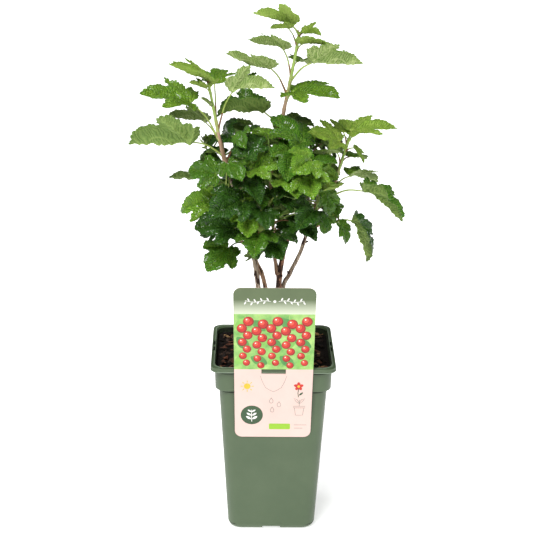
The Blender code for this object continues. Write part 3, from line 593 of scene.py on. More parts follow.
def build_card():
    stock = surface("label_stock", paint(233, 203, 193), paint(228, 197, 187), 30, 1200, 0.30, 0.42, 0.00002)
    verts = []
    faces = []
    outer = card_outline()
    slot = [(-SLOT_HALF, SLOT_LOW), (-SLOT_HALF, SLOT_HIGH), (SLOT_HALF, SLOT_HIGH), (SLOT_HALF, SLOT_LOW)]
    flat = [Vector(point) for point in outer + slot]
    count = len(outer)
    edges = [(i, (i + 1) % count) for i in range(count)]
    edges += [(count + i, count + (i + 1) % 4) for i in range(4)]
    spots, _, cells, origins, _, _ = delaunay_2d_cdt(flat, edges, [], 1, 1e-7)
    index = {origin: i for i, group in enumerate(origins) for origin in group}
    middle = (SLOT_LOW + SLOT_HIGH) / 2
    for out in (CARD_THICK / 2, -CARD_THICK / 2):
        first = len(verts)
        verts += [card_point(*spot, out) for spot in spots]
        for cell in cells:
            cx = sum(spots[i][0] for i in cell) / 3
            cy = sum(spots[i][1] for i in cell) / 3
            if abs(cx) < SLOT_HALF and abs(cy - middle) < (SLOT_HIGH - SLOT_LOW) / 2:
                continue
            side = cell if area_of([spots[i] for i in cell]) * out > 0 else cell[::-1]
            faces.append(tuple(first + i for i in side))
    back = len(spots)
    for i, j in edges:
        a, b = index[i], index[j]
        faces.append((a, back + a, back + b, b))
    front_y = card_point(0, SLOT_HIGH, 0).y
    back_y = -(COLLAR_HALF - COLLAR_DRAFT / 2 - POT_WALL - CARD_GAP - CARD_THICK)
    top = POT_HEIGHT + CARD_GAP + CARD_THICK
    bend = eased([(front_y, top), (back_y, top), (back_y, top - TAB_DROP)], 0.0009, 4)
    inner = eased([(back_y - CARD_THICK, top - TAB_DROP), (back_y - CARD_THICK, top - CARD_THICK),
                   (front_y, top - CARD_THICK)], 0.0004, 4)
    section = [tuple(point) for point in bend + inner]
    first = len(verts)
    count = len(section)
    for across in (-TAB_HALF, TAB_HALF):
        verts += [Vector((across, y, z)) for y, z in section]
    faces.append(tuple(first + i for i in range(count))[::-1])
    faces.append(tuple(first + count + i for i in range(count)))
    for i in range(count):
        j = (i + 1) % count
        faces.append((first + i, first + j, first + count + j, first + count + i))
    mesh = mesh_from("label_board", verts, faces, [stock], smooth_below=30)
    place("label_board", mesh, "label_card", "label_card")


def area_of(loop):
    """Twice the signed area of a loop of (x, y)."""
    total = 0.0
    for (x0, y0), (x1, y1) in zip(loop, list(loop[1:]) + [loop[0]]):
        total += x0 * y1 - x1 * y0
    return total


def oval(cx, cy, long_half, wide_half, turn=0.0, point=0.0, steps=18):
    """An oval whose two ends are drawn out to points as far as point says."""
    loop = []
    lean = math.radians(turn)
    for step in range(steps):
        angle = 2 * math.pi * step / steps
        x = long_half * math.cos(angle)
        y = wide_half * math.sin(angle) * (1 - point * abs(math.cos(angle)) ** 2)
        loop.append((cx + x * math.cos(lean) - y * math.sin(lean), cy + x * math.sin(lean) + y * math.cos(lean)))
    return loop


def round_bar(cx, cy, width, height, radius):
    x, y = width / 2 - radius, height / 2 - radius
    return (arc(cx + x, cy - y, radius, -90, 0, 5) + arc(cx + x, cy + y, radius, 0, 90, 5)
            + arc(cx - x, cy + y, radius, 90, 180, 5) + arc(cx - x, cy - y, radius, 180, 270, 5))


def stroke(points, width):
    """A pen line of even width through the points, as a loop."""
    left = []
    right = []
    for i, (x, y) in enumerate(points):
        x0, y0 = points[max(i - 1, 0)]
        x1, y1 = points[min(i + 1, len(points) - 1)]
        length = math.hypot(x1 - x0, y1 - y0)
        nx, ny = -(y1 - y0) / length * width / 2, (x1 - x0) / length * width / 2
        left.append((x + nx, y + ny))
        right.append((x - nx, y - ny))
    loop = right + left[::-1]
    return loop if area_of(loop) > 0 else loop[::-1]


def in_mm(loop):
    return [(x / 1000, y / 1000) for x, y in loop]


def build_print():
    """Every flat of ink is a plate a few hundredths of a millimetre proud of the card."""
    inks = {
        "band": band_ink(),
        "field": surface("ink_field", paint(176, 214, 122), paint(112, 172, 84), 75, 900, 0.3, 0.4, 0.00001),
        "leaf_light": surface("ink_leaf_light", paint(146, 200, 92), paint(120, 182, 80), 90, 900, 0.3, 0.4, 0.00001),
        "leaf_deep": surface("ink_leaf_deep", paint(92, 156, 78), paint(70, 134, 66), 90, 900, 0.3, 0.4, 0.00001),
        "stalk": surface("ink_stalk", paint(190, 208, 120), paint(160, 190, 100), 90, 900, 0.3, 0.4, 0.00001),
        "red_deep": surface("ink_red_deep", paint(150, 32, 28), paint(120, 24, 24), 120, 900, 0.3, 0.4, 0.00001),
        "red": surface("ink_red", paint(208, 44, 32), paint(180, 32, 28), 120, 900, 0.3, 0.4, 0.00001),
        "red_light": surface("ink_red_light", paint(238, 98, 72), paint(230, 80, 60), 120, 900, 0.3, 0.4, 0.00001),
        "white": surface("ink_white", paint(252, 250, 246), paint(248, 246, 240), 60, 900, 0.3, 0.4, 0.00001),
        "grey": surface("ink_grey", paint(150, 144, 134), paint(136, 130, 122), 60, 900, 0.3, 0.4, 0.00001),
        "green_deep": surface("ink_green_deep", paint(52, 84, 48), paint(44, 74, 42), 60, 900, 0.3, 0.4, 0.00001),
        "green_bright": surface("ink_green_bright", paint(152, 200, 40), paint(142, 190, 36), 60, 900, 0.3, 0.4, 0.00001),
        "yellow": surface("ink_yellow", paint(244, 196, 48), paint(236, 182, 40), 60, 900, 0.3, 0.4, 0.00001),
    }
    names = list(inks)
    verts = []
    faces = []
    looks_of = []
    layer = [0]

    def lay(loop, ink):
        layer[0] += 1
        face = CARD_THICK / 2
        add_plate(verts, faces, loop, face - INK_THICK, face + INK_THICK + layer[0] * INK_STEP / 10)
        looks_of.extend([names.index(ink)] * (len(faces) - len(looks_of)))

    top_half = CARD_TOP_WIDTH / 2 - CARD_CORNER
    band = [(-card_half(BAND_LOW), BAND_LOW), (card_half(BAND_LOW), BAND_LOW)]
    band += arc(top_half, CARD_LENGTH - CARD_CORNER, CARD_CORNER, 0, 90, 8)
    band += arc(-top_half, CARD_LENGTH - CARD_CORNER, CARD_CORNER, 90, 180, 8)
    lay(band, "band")
    lay([(-card_half(SLOT_HIGH), SLOT_HIGH), (card_half(SLOT_HIGH), SLOT_HIGH),
         (card_half(BAND_LOW), BAND_LOW), (-card_half(BAND_LOW), BAND_LOW)], "field")
    dice = random.Random(21)
    for row in range(3):
        for column in range(5):
            x = -30 + 15 * column + dice.uniform(-3, 3)
            y = 94 + 20 * row + dice.uniform(-2, 2)
            ink = ("leaf_light", "leaf_deep")[(row + column) % 2]
            lay(in_mm(oval(x, y, 9.5, 5.6, 35 + 110 * ((row + column) % 2) + dice.uniform(-15, 15), 0.45)), ink)
    for string in range(STRING_COUNT):
        x = (string - (STRING_COUNT - 1) / 2) * STRING_PITCH
        sway = 0.0016 * math.cos(string * 2.2)
        stalk = [(x + sway * math.sin(step * 0.6), STRING_TOP - step * 0.0056) for step in range(11)]
        lay(stroke(stalk, 0.0006), "stalk")
    for berry in range(STRING_BERRIES):
        for string in range(STRING_COUNT):
            share = berry / (STRING_BERRIES - 1)
            x = (string - (STRING_COUNT - 1) / 2) * STRING_PITCH + (0.0034, -0.0034)[berry % 2] * (1 - 0.5 * share)
            y = STRING_TOP - 0.0065 - berry * 0.0080 - (0.003 if string % 2 else 0.0)
            radius = BERRY_RADIUS[0] + (BERRY_RADIUS[1] - BERRY_RADIUS[0]) * share
            lay(oval(x, y, radius, radius, steps=16), "red_deep")
            lay(oval(x - 0.06 * radius, y + 0.1 * radius, 0.86 * radius, 0.86 * radius, steps=16), "red")
            lay(oval(x - 0.22 * radius, y + 0.26 * radius, 0.46 * radius, 0.46 * radius, steps=12), "red_light")
            lay(oval(x - 0.32 * radius, y + 0.4 * radius, 0.15 * radius, 0.15 * radius, steps=8), "white")
    for side in (-1, 1):
        rule = [(side * (4 + step * 3.2), 161 + 0.9 * math.sin(step * 0.9)) for step in range(9)]
        lay(in_mm(stroke(rule, 0.5)), "white")
        for step in range(1, 8, 2):
            x, y = rule[step]
            lay(in_mm(oval(x, y + 1.9, 1.9, 0.8, 60 * side, 0.5, 10)), "white")
            lay(in_mm(oval(x + side * 3.2, y - 1.9, 1.9, 0.8, -60 * side, 0.5, 10)), "white")
    lay(in_mm(oval(0, 161, 1.5, 1.5, steps=12)), "white")
    garden_drawings(lay)
    mesh = mesh_from("label_print", verts, faces, inks.values(), looks_of)
    place("label_print", mesh, "label_card")


def band_ink():
    """The band's green, paler towards its lower edge."""
    material = surface("ink_band", paint(93, 109, 72), paint(85, 101, 66), 30, 900, 0.3, 0.4, 0.00001)
    nodes, links = material.node_tree.nodes, material.node_tree.links
    spot = nodes.new("ShaderNodeTexCoord")
    axes = nodes.new("ShaderNodeSeparateXYZ")
    height = nodes.new("ShaderNodeMapRange")
    height.inputs["From Min"].default_value = card_point(0, BAND_LOW, 0).z
    height.inputs["From Max"].default_value = card_point(0, BAND_LOW + 0.016, 0).z
    fade = nodes.new("ShaderNodeMix")
    fade.data_type = "RGBA"
    fade.inputs["A"].default_value = paint(214, 222, 196)
    mottle = [node for node in nodes if node.type == "GROUP" and node.node_tree == MOTTLE][0]
    links.new(spot.outputs["Object"], axes.inputs["Vector"])
    links.new(axes.outputs["Z"], height.inputs["Value"])
    links.new(height.outputs["Result"], fade.inputs["Factor"])
    links.new(mottle.outputs["Color"], fade.inputs["B"])
    links.new(fade.outputs["Result"], nodes["Principled BSDF"].inputs["Base Color"])
    return material


def garden_drawings(lay):
    """The die-cut line under the slot, painted in grey ink as the shade in the cut, and small generic drawings on the
    cream panel, in mm.
    """
    # Painted shade: the die-cut line is a grey ink stroke standing for the dark gap of the cut.
    cut = [(-13.5, 74.5), (-11.8, 68.5), (-9.8, 64), (-8.2, 60.5), (-5.5, 58.6), (-2.8, 56.8), (0, 55.6)]
    line = cut + [(-x, y) for x, y in cut[-2::-1]]
    lay(in_mm(stroke(line, 0.4)), "grey")
    for turn in range(0, 360, 45):
        run = (math.cos(math.radians(turn)), math.sin(math.radians(turn)))
        ray = [(-27 + run[0] * 4.4, 62 + run[1] * 4.4), (-27 + run[0] * 6.8, 62 + run[1] * 6.8)]
        lay(in_mm(stroke(ray, 0.8)), "yellow")
    lay(in_mm(oval(-27, 62, 3.5, 3.5)), "yellow")
    lay(in_mm(stroke([(26, 49), (25.4, 54), (26, 59)], 0.8)), "green_deep")
    lay(in_mm(oval(28.6, 53, 2.8, 1.1, 40, 0.4, 12)), "green_deep")
    for turn in range(90, 450, 72):
        run = (math.cos(math.radians(turn)), math.sin(math.radians(turn)))
        lay(in_mm(oval(26 + run[0] * 2.7, 62 + run[1] * 2.7, 2.4, 1.7, turn)), "red")
    lay(in_mm(oval(26, 62, 1.4, 1.4, steps=12)), "yellow")
    for lean in (-1, 1):
        pot_side = [(27 + lean * 5, 36), (27 + lean * 3.6, 27), (27, 27)]
        lay(in_mm(stroke(pot_side, 0.5)), "grey")
        lay(in_mm(stroke([(27, 38), (27 + lean * 6, 38), (27 + lean * 6, 36), (27, 36)], 0.5)), "grey")
        leaf = [(27, 41), (27 + lean * 3.5, 44), (27 + lean * 5.5, 47.5), (27 + lean * 2.2, 46), (27, 42)]
        lay(in_mm(stroke(leaf, 0.5)), "grey")
    lay(in_mm(stroke([(27, 38), (27.2, 42), (27, 46)], 0.5)), "grey")
    for x, y in ((-2, 44), (6, 39.5), (-1, 33)):
        drop = [(x, y + 4.2), (x + 1.9, y + 0.6), (x + 1.6, y - 1.6), (x, y - 2.5), (x - 1.6, y - 1.6),
                (x - 1.9, y + 0.6), (x, y + 4.0)]
        lay(in_mm(stroke(drop, 0.5)), "grey")
    lay(in_mm(oval(-22, 27, 11.5, 11.5, steps=40)), "green_deep")
    lay(in_mm(stroke([(-22, 19), (-22.4, 26), (-22, 33.5)], 0.7)), "white")
    for step, reach in enumerate((5.2, 4.6, 3.6)):
        for side in (-1, 1):
            y = 21.5 + 4.6 * step
            blade = oval(-22.2 + side * reach * 0.62, y + reach * 0.42, reach * 0.62, reach * 0.26,
                         90 - side * 56, 0.5, 12)
            lay(in_mm(blade), "white")
    lay(in_mm(round_bar(7, 13, 22, 7, 1.2)), "green_bright")
    for row, reach in enumerate((13, 9)):
        y = 15 - 4 * row
        lay(in_mm(stroke([(22, y), (22 + reach / 2, y), (22 + reach, y)], 0.5)), "grey")


build_card()
build_print()


# The canes are the bush's own wood: several upright stems that leave the soil close together
# and spread. Their bark is dull grey-brown over the young wood, ridged lengthwise, flaking
# off in dark strips, with a swelling, a bud or a cut stub where leaves once grew.
GAP = 0.0003
CANES = {
    "cane_left": dict(
        points=((-7, -3, 0), (-16, -1, 75), (-21, 0, 108), (-36, 1, 162), (-49, 0, 203)),
        foot=6.2, tip=3.6),
    "cane_back": dict(
        points=((1, 8, 0), (-9, 7, 75), (-21, 8, 108), (-35, 20, 150), (-41, 28, 176)),
        foot=6.0, tip=2.9),
    "cane_middle": dict(
        points=((4, -6, 0), (5, -4, 75), (8, -5, 106), (16, -6, 135), (33, -5, 153), (52, -3, 170)),
        foot=8.4, tip=3.2),
    "cane_top": dict(
        points=((3, -2.2, 99), (0.5, 0.5, 112), (-1, 6, 150), (3, 6, 200), (6, 4, 235)),
        foot=3.6, tip=3.3),
    "cane_right": dict(
        points=((10, 5, 0), (10, 4, 70), (17, 4, 90), (29, 5, 117), (36, 5, 150), (33, 4, 190)),
        foot=5.6, tip=3.0),
}
CANE_FLARE = 0.35
CANE_FLARE_HEIGHT = 0.010
CANE_SIDES = 7
CANE_STEP = 0.014
BARK_SIDES = 22
BARK_STEP = 0.0012
BARK_FLAKES = {"cane_left": 0.16, "cane_back": 0.24, "cane_middle": -0.10, "cane_top": 0.02, "cane_right": 0.20}
BARK_LIGHT = {"cane_left": "grey", "cane_back": "tan", "cane_middle": "brown", "cane_top": "brown",
              "cane_right": "grey"}
JOINT_PITCH = 0.034
BUD_LENGTH = 0.0032
BUD_WIDTH = 0.0017
FORK_SINK = 0.010


def above_soil(point):
    """A point in mm from the pot's axis and the soil, in metres."""
    x, y, z = point
    return Vector((x / 1000, y / 1000, SOIL_TOP + GAP + z / 1000))


def smooth_path(points, step):
    """Points about step apart on the smooth curve through the given points."""
    path = []
    last = len(points) - 1
    for i in range(last):
        before = points[max(i - 1, 0)]
        here = points[i]
        there = points[i + 1]
        after = points[min(i + 2, last)]
        count = max(1, round((there - here).length / step))
        for k in range(count):
            t = k / count
            out = (there - before) * 0.5
            into = (after - here) * 0.5
            path.append(
                here * (2 * t ** 3 - 3 * t ** 2 + 1) + out * (t ** 3 - 2 * t ** 2 + t)
                + there * (3 * t ** 2 - 2 * t ** 3) + into * (t ** 3 - t ** 2))
    path.append(points[-1].copy())
    return path


def cane_path(name, step, straight_foot):
    """The cane's path and radii; the rule's own coarse path leaves the soil straight up."""
    cane = CANES[name]
    path = smooth_path([above_soil(point) for point in cane["points"]], step)
    rise = path[-1].z - path[0].z
    radii = []
    for point in path:
        height = point.z - path[0].z
        radii.append((cane["foot"] + (cane["tip"] - cane["foot"]) * height / rise) / 2000)
    if cane["points"][0][2] == 0:
        foot = path[0]
        if straight_foot:
            path.insert(1, foot + Vector((0, 0, 0.0015)))
            radii.insert(1, radii[0])
            path[2].xy = path[2].xy * 0.5 + path[1].xy * 0.5
        for i, point in enumerate(path):
            height = point.z - foot.z
            radii[i] *= 1 + CANE_FLARE * math.exp(-height / CANE_FLARE_HEIGHT)
    return path, radii


def sweep(verts, faces, path, ring_of, sides):
    """A closed limb round the path; ring_of gives the radius at a step and an angle."""
    first = len(verts)
    last = len(path) - 1
    across = (path[1] - path[0]).orthogonal().normalized()
    for i, point in enumerate(path):
        along = (path[min(i + 1, last)] - path[max(i - 1, 0)]).normalized()
        across = (across - along * across.dot(along)).normalized()
        beside = along.cross(across)
        for k in range(sides):
            angle = 2 * math.pi * k / sides
            verts.append(point + (across * math.cos(angle) + beside * math.sin(angle)) * ring_of(i, angle))
    for i in range(last):
        for k in range(sides):
            j = (k + 1) % sides
            here = first + i * sides
            faces.append((here + k, here + j, here + sides + j, here + sides + k))
    faces.append(tuple(range(first, first + sides))[::-1])
    faces.append(tuple(range(first + last * sides, first + (last + 1) * sides)))


def bud(verts, faces, foot, along, out, length, width):
    """A plump bud that lies close to its stem, its point up and a little out."""
    tip = foot + (along * 0.92 + out * 0.39).normalized() * length
    path = [foot.lerp(tip, share) for share in (0.0, 0.18, 0.42, 0.68, 0.88, 1.0)]
    swell = (0.55, 0.95, 1.0, 0.72, 0.38, 0.08)
    sweep(verts, faces, path, lambda i, angle: width / 2 * swell[i], 8)


def bark_looks():
    stretch = (1.0, 1.0, 0.18)
    return {
        "grey": surface("bark_grey", paint(214, 196, 174), paint(126, 104, 86), 420, 1100, 0.62, 0.9, 0.0004, stretch),
        "tan": surface("bark_tan", paint(220, 184, 152), paint(150, 112, 84), 420, 1100, 0.6, 0.88, 0.0004, stretch),
        "brown": surface("bark_brown", paint(186, 136, 106), paint(88, 52, 38), 420, 1100, 0.62, 0.9, 0.0005, stretch),
        "flake": surface("bark_flake", paint(84, 56, 42), paint(44, 28, 22), 420, 1100, 0.66, 0.92, 0.0005, stretch),
    }


def build_canes():
    looks = bark_looks()
    names = list(looks)
    for number, name in enumerate(CANES):
        path, radii = cane_path(name, BARK_STEP, False)
        if name == "cane_top":
            carrier = cane_path("cane_middle", BARK_STEP, False)[0]
            root = min(carrier, key=lambda point: abs(point.z - (path[0].z - FORK_SINK)))
            path = smooth_path([root, (root + path[0]) / 2, path[0]], BARK_STEP)[:-1] + path
            radii = [radii[0]] * (len(path) - len(radii)) + radii
        else:
            path = [path[0] - Vector((0, 0, 0.004))] + path
            radii = [radii[0]] + radii
        shift = number * 3.7
        patch = {}

        def ring_of(i, angle):
            x, y, z = math.cos(angle), math.sin(angle), path[i].z
            ridge = noise.noise(Vector((x * 1.7 + shift, y * 1.7, z * 34)))
            fine = noise.noise(Vector((x * 4.5, y * 4.5 + shift, z * 210)))
            flake = noise.noise(Vector((x * 1.2 - shift, y * 1.2 + 9, z * 95))) - BARK_FLAKES[name]
            lifted = min(1.0, max(0.0, flake / 0.05))
            patch[i, round(angle, 3)] = flake > 0.02
            joint = math.exp(-((((z - 0.19) % JOINT_PITCH) - JOINT_PITCH / 2) / 0.0022) ** 2)
            return radii[i] * (0.97 + 0.10 * ridge + 0.16 * joint) + 0.00022 * lifted + 0.00009 * fine

        verts = []
        faces = []
        sweep(verts, faces, path, ring_of, BARK_SIDES)
        looks_of = []
        for i in range(len(path) - 1):
            for k in range(BARK_SIDES):
                flaked = patch[i, round(2 * math.pi * k / BARK_SIDES, 3)]
                looks_of.append(names.index("flake" if flaked else BARK_LIGHT[name]))
        looks_of += [names.index("flake")] * 2
        dice = random.Random(40 + number)
        turn = dice.uniform(0, 360)
        for i, point in enumerate(path[1:-1], 1):
            level = (point.z - 0.19) / JOINT_PITCH
            if math.floor(level - 0.5) == math.floor((path[i - 1].z - 0.19) / JOINT_PITCH - 0.5):
                continue
            turn += 144
            out = Vector((math.cos(math.radians(turn)), math.sin(math.radians(turn)), 0))
            along = (path[i + 1] - path[i - 1]).normalized()
            out = (out - along * out.dot(along)).normalized()
            foot = point + out * radii[i] * 0.8
            if dice.random() < 0.3:
                stub = [foot, foot + (out + along * 0.5) * 0.0016, foot + (out + along * 0.6) * 0.0026]
                sweep(verts, faces, stub, lambda k, angle: (0.0013, 0.0010, 0.0009)[k], 8)
            else:
                bud(verts, faces, foot, along, out, BUD_LENGTH, BUD_WIDTH)
            looks_of += [names.index("flake")] * (len(faces) - len(looks_of))
        mesh = mesh_from(name + "_bark", verts, faces, looks.values(), looks_of, smooth_below=55)
        place(name + "_bark", mesh, "bark", name)


build_canes()


# The shoots are this year's growth. A stem goes on from a cane, tan at its foot and green
# above, with a side twig or two and leaves round it in a spiral. The rule that sets them is
# the one that the solid model follows, leaf for leaf.
# Each shoot names the cane it leaves, how far up it (1 is its tip), the stem's points after
# that in mm, the number of side twigs, and the spiral: how many leaves, first azimuth, stalk
# and blade in mm. The leaves that set the outline and the front come first. Each has its share
# of the stem, azimuth and rise of the stalk, its length, the turn of the blade from the stalk,
# the blade's length, pitch and roll, how far its halves fold up, and its droop in hundredths.
# Azimuth 0 is +X, 90 the back and 270 the label side. A positive roll turns the face to the
# leaf's own right.
SHOOTS = {
    "shoot_left": dict(
        cane="cane_left", share=1.0, stem=((-57, -2, 236), (-61, -2, 257), (-68, -3, 293)), twigs=0,
        leaves=((0.15, 185, 25, 38, 0, 61, 0, 20, 40, 3), (0.30, 185, 55, 52, 0, 50, 12, -18, 22, 5),
                (0.45, 350, 70, 44, 0, 41, 14, -25, 60, 10), (1.00, 195, 60, 3, 0, 40, 29, -4, 26, 10),
                (0.55, 100, 72, 40, -25, 30, 20, 0, 20, 10), (0.88, 215, 45, 9, -20, 17, 20, 0, 40, 0),
                (0.72, 190, 30, 4, 0, 12, 45, 0, 40, 0), (0.22, 122, 34, 42, 58, 38, 12, 13, 38, 5),
                (0.06, 60, 35, 32, 0, 40, -12, 0, 25, 15),
                (0.10, 100, 30, 12, 80, 24, 8, 0, 30, 10)),
        spiral=(0, 0, 0, 0)),
    "shoot_top": dict(
        cane="cane_top", share=1.0, stem=((8, 3, 262), (15, 0, 300), (22, 0, 341)), twigs=0,
        leaves=((1.00, 190, 48, 13, 0, 38, 25, 20, 38, 15), (0.92, 205, 62, 21, 0, 21, 12, 10, 30, 15),
                (0.97, 330, 60, 12, 20, 24, 0, 4, 36, 15), (0.84, 15, 58, 13, -15, 33, 11, -20, 25, 44),
                (0.60, 192, 74, 29, 0, 36, 18, 10, 32, 3), (0.42, 190, 58, 34, 0, 44, 7, 17, 18, -18),
                (0.55, 350, 42, 32, 0, 47, 2, -19, 40, 6), (0.28, 335, 66, 20, 0, 49, 6, 8, 12, 14),
                (0.03, 150, 45, 32, 35, 46, 1, 4, 46, 8), (0.68, 60, 30, 14, 0, 26, 0, 0, 25, 25)),
        spiral=(0, 0, 0, 0)),
    "shoot_right": dict(
        cane="cane_middle", share=1.0, stem=((60, -3, 184), (66, -4, 208), (74, -5, 235)), twigs=0,
        leaves=((1.00, 5, 75, 11, 0, 45, 10, 8, 12, 12), (0.93, 112, 55, 16, -32, 28, 14, 0, 22, 10),
                (0.86, 215, 50, 13, -20, 36, 26, -25, 15, 10), (0.86, 300, 35, 14, 20, 18, -50, 0, 20, 10),
                (0.62, 250, 50, 20, -65, 25, 8, 20, 12, 15), (0.25, 355, 38, 22, 35, 34, -12, -4, 36, 10),
                (0.10, 350, 17, 39, 0, 49, -27, -6, 38, 8), (0.05, 290, -5, 12, 0, 16, -30, 0, 20, 15),
                (0.66, 40, 20, 12, 0, 24, -5, 0, 20, 15)),
        spiral=(0, 0, 0, 0)),
    "foliage_left_back": dict(
        cane="cane_back", share=1.0, stem=((-50, 38, 198), (-56, 46, 222)), twigs=2,
        leaves=((0.30, 210, 0, 45, -5, 26, 20, 30, 15, 15),),
        spiral=(13, 120, 28, 42)),
    "foliage_left_front": dict(
        cane="cane_left", share=0.66, stem=((-42, -18, 160), (-50, -32, 190)), twigs=2,
        leaves=((1.00, 285, 70, 31, 15, 26, -15, 20, 15, 20), (0.90, 225, 57, 28, -30, 30, 8, -55, 10, 20),
                (0.94, 75, 68, 27, 115, 28, 8, -15, 18, 15), (0.45, 165, 35, 24, -5, 42, -8, -30, 12, 20),
                (0.62, 300, 35, 27, -75, 40, -5, -30, 15, 20)),
        spiral=(11, 215, 24, 34)),
    "foliage_left_low": dict(
        cane="cane_back", share=0.66, stem=((-34, -6, 128), (-42, -16, 150)), twigs=2,
        leaves=((0.75, 262, 25, 24, -70, 39, 10, -35, 12, 20), (0.97, 215, -25, 16, -20, 22, -10, -30, 15, 20),
                (0.36, 225, -5, 22, 5, 34, -25, -32, 22, 15)),
        spiral=(9, 150, 24, 38)),
    "foliage_middle_left": dict(
        cane="cane_left", share=0.86, stem=((-34, -14, 202), (-32, -22, 232)), twigs=1,
        leaves=((0.72, 275, 25, 30, 140, 32, 35, 10, 15, 15), (0.40, 20, 10, 20, 0, 32, 8, 25, 15, 15)),
        spiral=(11, 300, 22, 34)),
    "foliage_middle_front": dict(
        cane="cane_top", share=0.56, stem=((-4, -22, 186), (-6, -36, 222)), twigs=2,
        leaves=((0.78, 230, 10, 22, 148, 34, 13, 28, 15, 10), (0.50, 300, -20, 18, 50, 32, -12, 20, 15, 20)),
        spiral=(13, 200, 24, 34)),
    "foliage_middle_back": dict(
        cane="cane_top", share=0.50, stem=((2, 34, 186), (4, 52, 222)), twigs=2,
        leaves=(), spiral=(13, 80, 30, 40)),
    "foliage_low_front": dict(
        cane="cane_middle", share=0.50, stem=((-2, -22, 148), (-6, -34, 176)), twigs=2,
        leaves=((0.60, 240, 10, 29, 20, 36, -10, 0, 20, 20), (0.50, 265, 15, 18, 15, 37, -6, 30, 15, 20),
                (0.90, 240, 15, 20, 45, 26, -20, 0, 15, 20), (1.00, 335, 30, 17, 75, 34, 10, 20, 20, 15),
                (0.72, 320, 10, 34, -20, 30, -8, 25, 35, 25)),
        spiral=(9, 160, 22, 34)),
    "foliage_low_back": dict(
        cane="cane_top", share=0.25, stem=((10, 34, 140), (14, 54, 172)), twigs=2,
        leaves=(), spiral=(10, 70, 28, 40)),
    "foliage_right_top": dict(
        cane="cane_right", share=1.0, stem=((34, -2, 208), (36, -8, 234)), twigs=2,
        leaves=((1.00, 235, 12, 20, -100, 44, 35, 0, 8, 10), (0.93, 20, 45, 14, 0, 28, 10, 0, 20, 15),
                (0.55, 250, 10, 24, 95, 34, 10, 10, 15, 15)),
        spiral=(12, 300, 24, 36)),
    "foliage_right_front": dict(
        cane="cane_right", share=0.80, stem=((40, -24, 160), (44, -38, 186)), twigs=2,
        leaves=((1.00, 240, 65, 46, 0, 32, -5, -40, 15, 20), (0.92, 275, 65, 32, 35, 32, -10, 20, 15, 20),
                (0.75, 330, 60, 19, -30, 24, -80, 0, 20, 10), (0.50, 320, 25, 12, -30, 20, -70, 0, 15, 15)),
        spiral=(9, 200, 22, 32)),
    "foliage_right_back": dict(
        cane="cane_right", share=0.70, stem=((46, 32, 164), (52, 50, 196)), twigs=2,
        leaves=(), spiral=(12, 50, 30, 40)),
    "foliage_right_low": dict(
        cane="cane_right", share=0.74, stem=((48, -7, 147), (64, -14, 152)), twigs=1,
        leaves=((1.00, 345, 8, 17, 0, 44, -64, -10, 32, 5),
                (0.84, 320, 10, 14, 30, 22, -58, 0, 20, 10)),
        spiral=(3, 60, 20, 30)),
}

# The body of the crown: ruled leaves keep their tips inside this ellipsoid, in mm, whose
# middle level rises to the right
BODY_CENTRE = Vector((-4, 2, 184))
BODY_REACH = Vector((79, 92, 73))
BODY_TILT = 0.15
STEM_SIDES = 5
STEM_STEP = 0.016
STEM_WIDTH = 3.6
STEM_TIP_WIDTH = 2.0
TWIG_WIDTH = 1.8
TWIG_LENGTH = 30
TWIG_RISE = 32
SPIRAL_STEP = 144.0
SPIRAL_START = 0.10
TRIES = 300
CLEARANCE = 0.0005
STALK_WIDTH = 0.0018
LEAF_THICK = 0.0007
LEAF_CUP = 0.20
RULED_FOLD = (6, 32)
RULED_DROOP = (10, 30)
LEAF_HALF_OUTLINE = ((0.34, -0.12), (0.63, 0.38), (0.40, 0.56))
LEAF_TIP = (0.0, 1.0)
LEAF_HEART = (0.0, 0.42)
TIP_LEAVES = 3
TIP_BLADE = (10, 17)
TIP_FOLD = (38, 58)
TIP_TRIES = 14
FINE_STEM_STEP = 0.0022
FINE_STEM_SIDES = 12
STEM_SINK = 0.003
LONG_STEM_STOUT = 1.18
SHOOT_GROUPS = {
    "tops": ("shoot_left", "shoot_top", "shoot_right"),
    "left": ("foliage_left_back", "foliage_left_front"),
    "left_low": ("foliage_left_low", "foliage_middle_left"),
    "middle": ("foliage_middle_front", "foliage_middle_back"),
    "low": ("foliage_low_front", "foliage_low_back"),
    "right": ("foliage_right_top", "foliage_right_front"),
    "right_back": ("foliage_right_back", "foliage_right_low"),
}
UP = Vector((0, 0, 1))


def path_at(path, share):
    """Point, direction and index at a share of the path's length."""
    lengths = [0.0]
    for a, b in zip(path, path[1:]):
        lengths.append(lengths[-1] + (b - a).length)
    wanted = share * lengths[-1]
    for i in range(len(path) - 1):
        if lengths[i + 1] >= wanted - 1e-9:
            t = (wanted - lengths[i]) / (lengths[i + 1] - lengths[i])
            return path[i].lerp(path[i + 1], t), (path[i + 1] - path[i]).normalized(), i + t
    return path[-1].copy(), (path[-1] - path[-2]).normalized(), len(path) - 1.0


def heading(azimuth):
    angle = math.radians(azimuth)
    return Vector((math.cos(angle), math.sin(angle), 0))


def stem_path(shoot, canes, step):
    """The shoot's stem and its radii, its first end a gap away from the cane that carries it."""
    path, radii = canes[shoot["cane"]]
    start, along, index = path_at(path, shoot["share"])
    onward = [above_soil(point) for point in shoot["stem"]]
    if shoot["share"] == 1.0:
        foot = start + along * GAP
        points = [foot, foot + along * 0.004] + onward
    else:
        side = onward[0] - start
        side = (side - along * side.dot(along)).normalized()
        reach = radii[int(index)] + GAP
        foot = start + side * reach
        points = [foot, foot + side * 0.003 + along * 0.0004] + onward
    stem = smooth_path(points, step)
    last = len(stem) - 1
    widths = [STEM_WIDTH + (STEM_TIP_WIDTH - STEM_WIDTH) * i / last for i in range(last + 1)]
    return stem, [width / 2000 for width in widths]


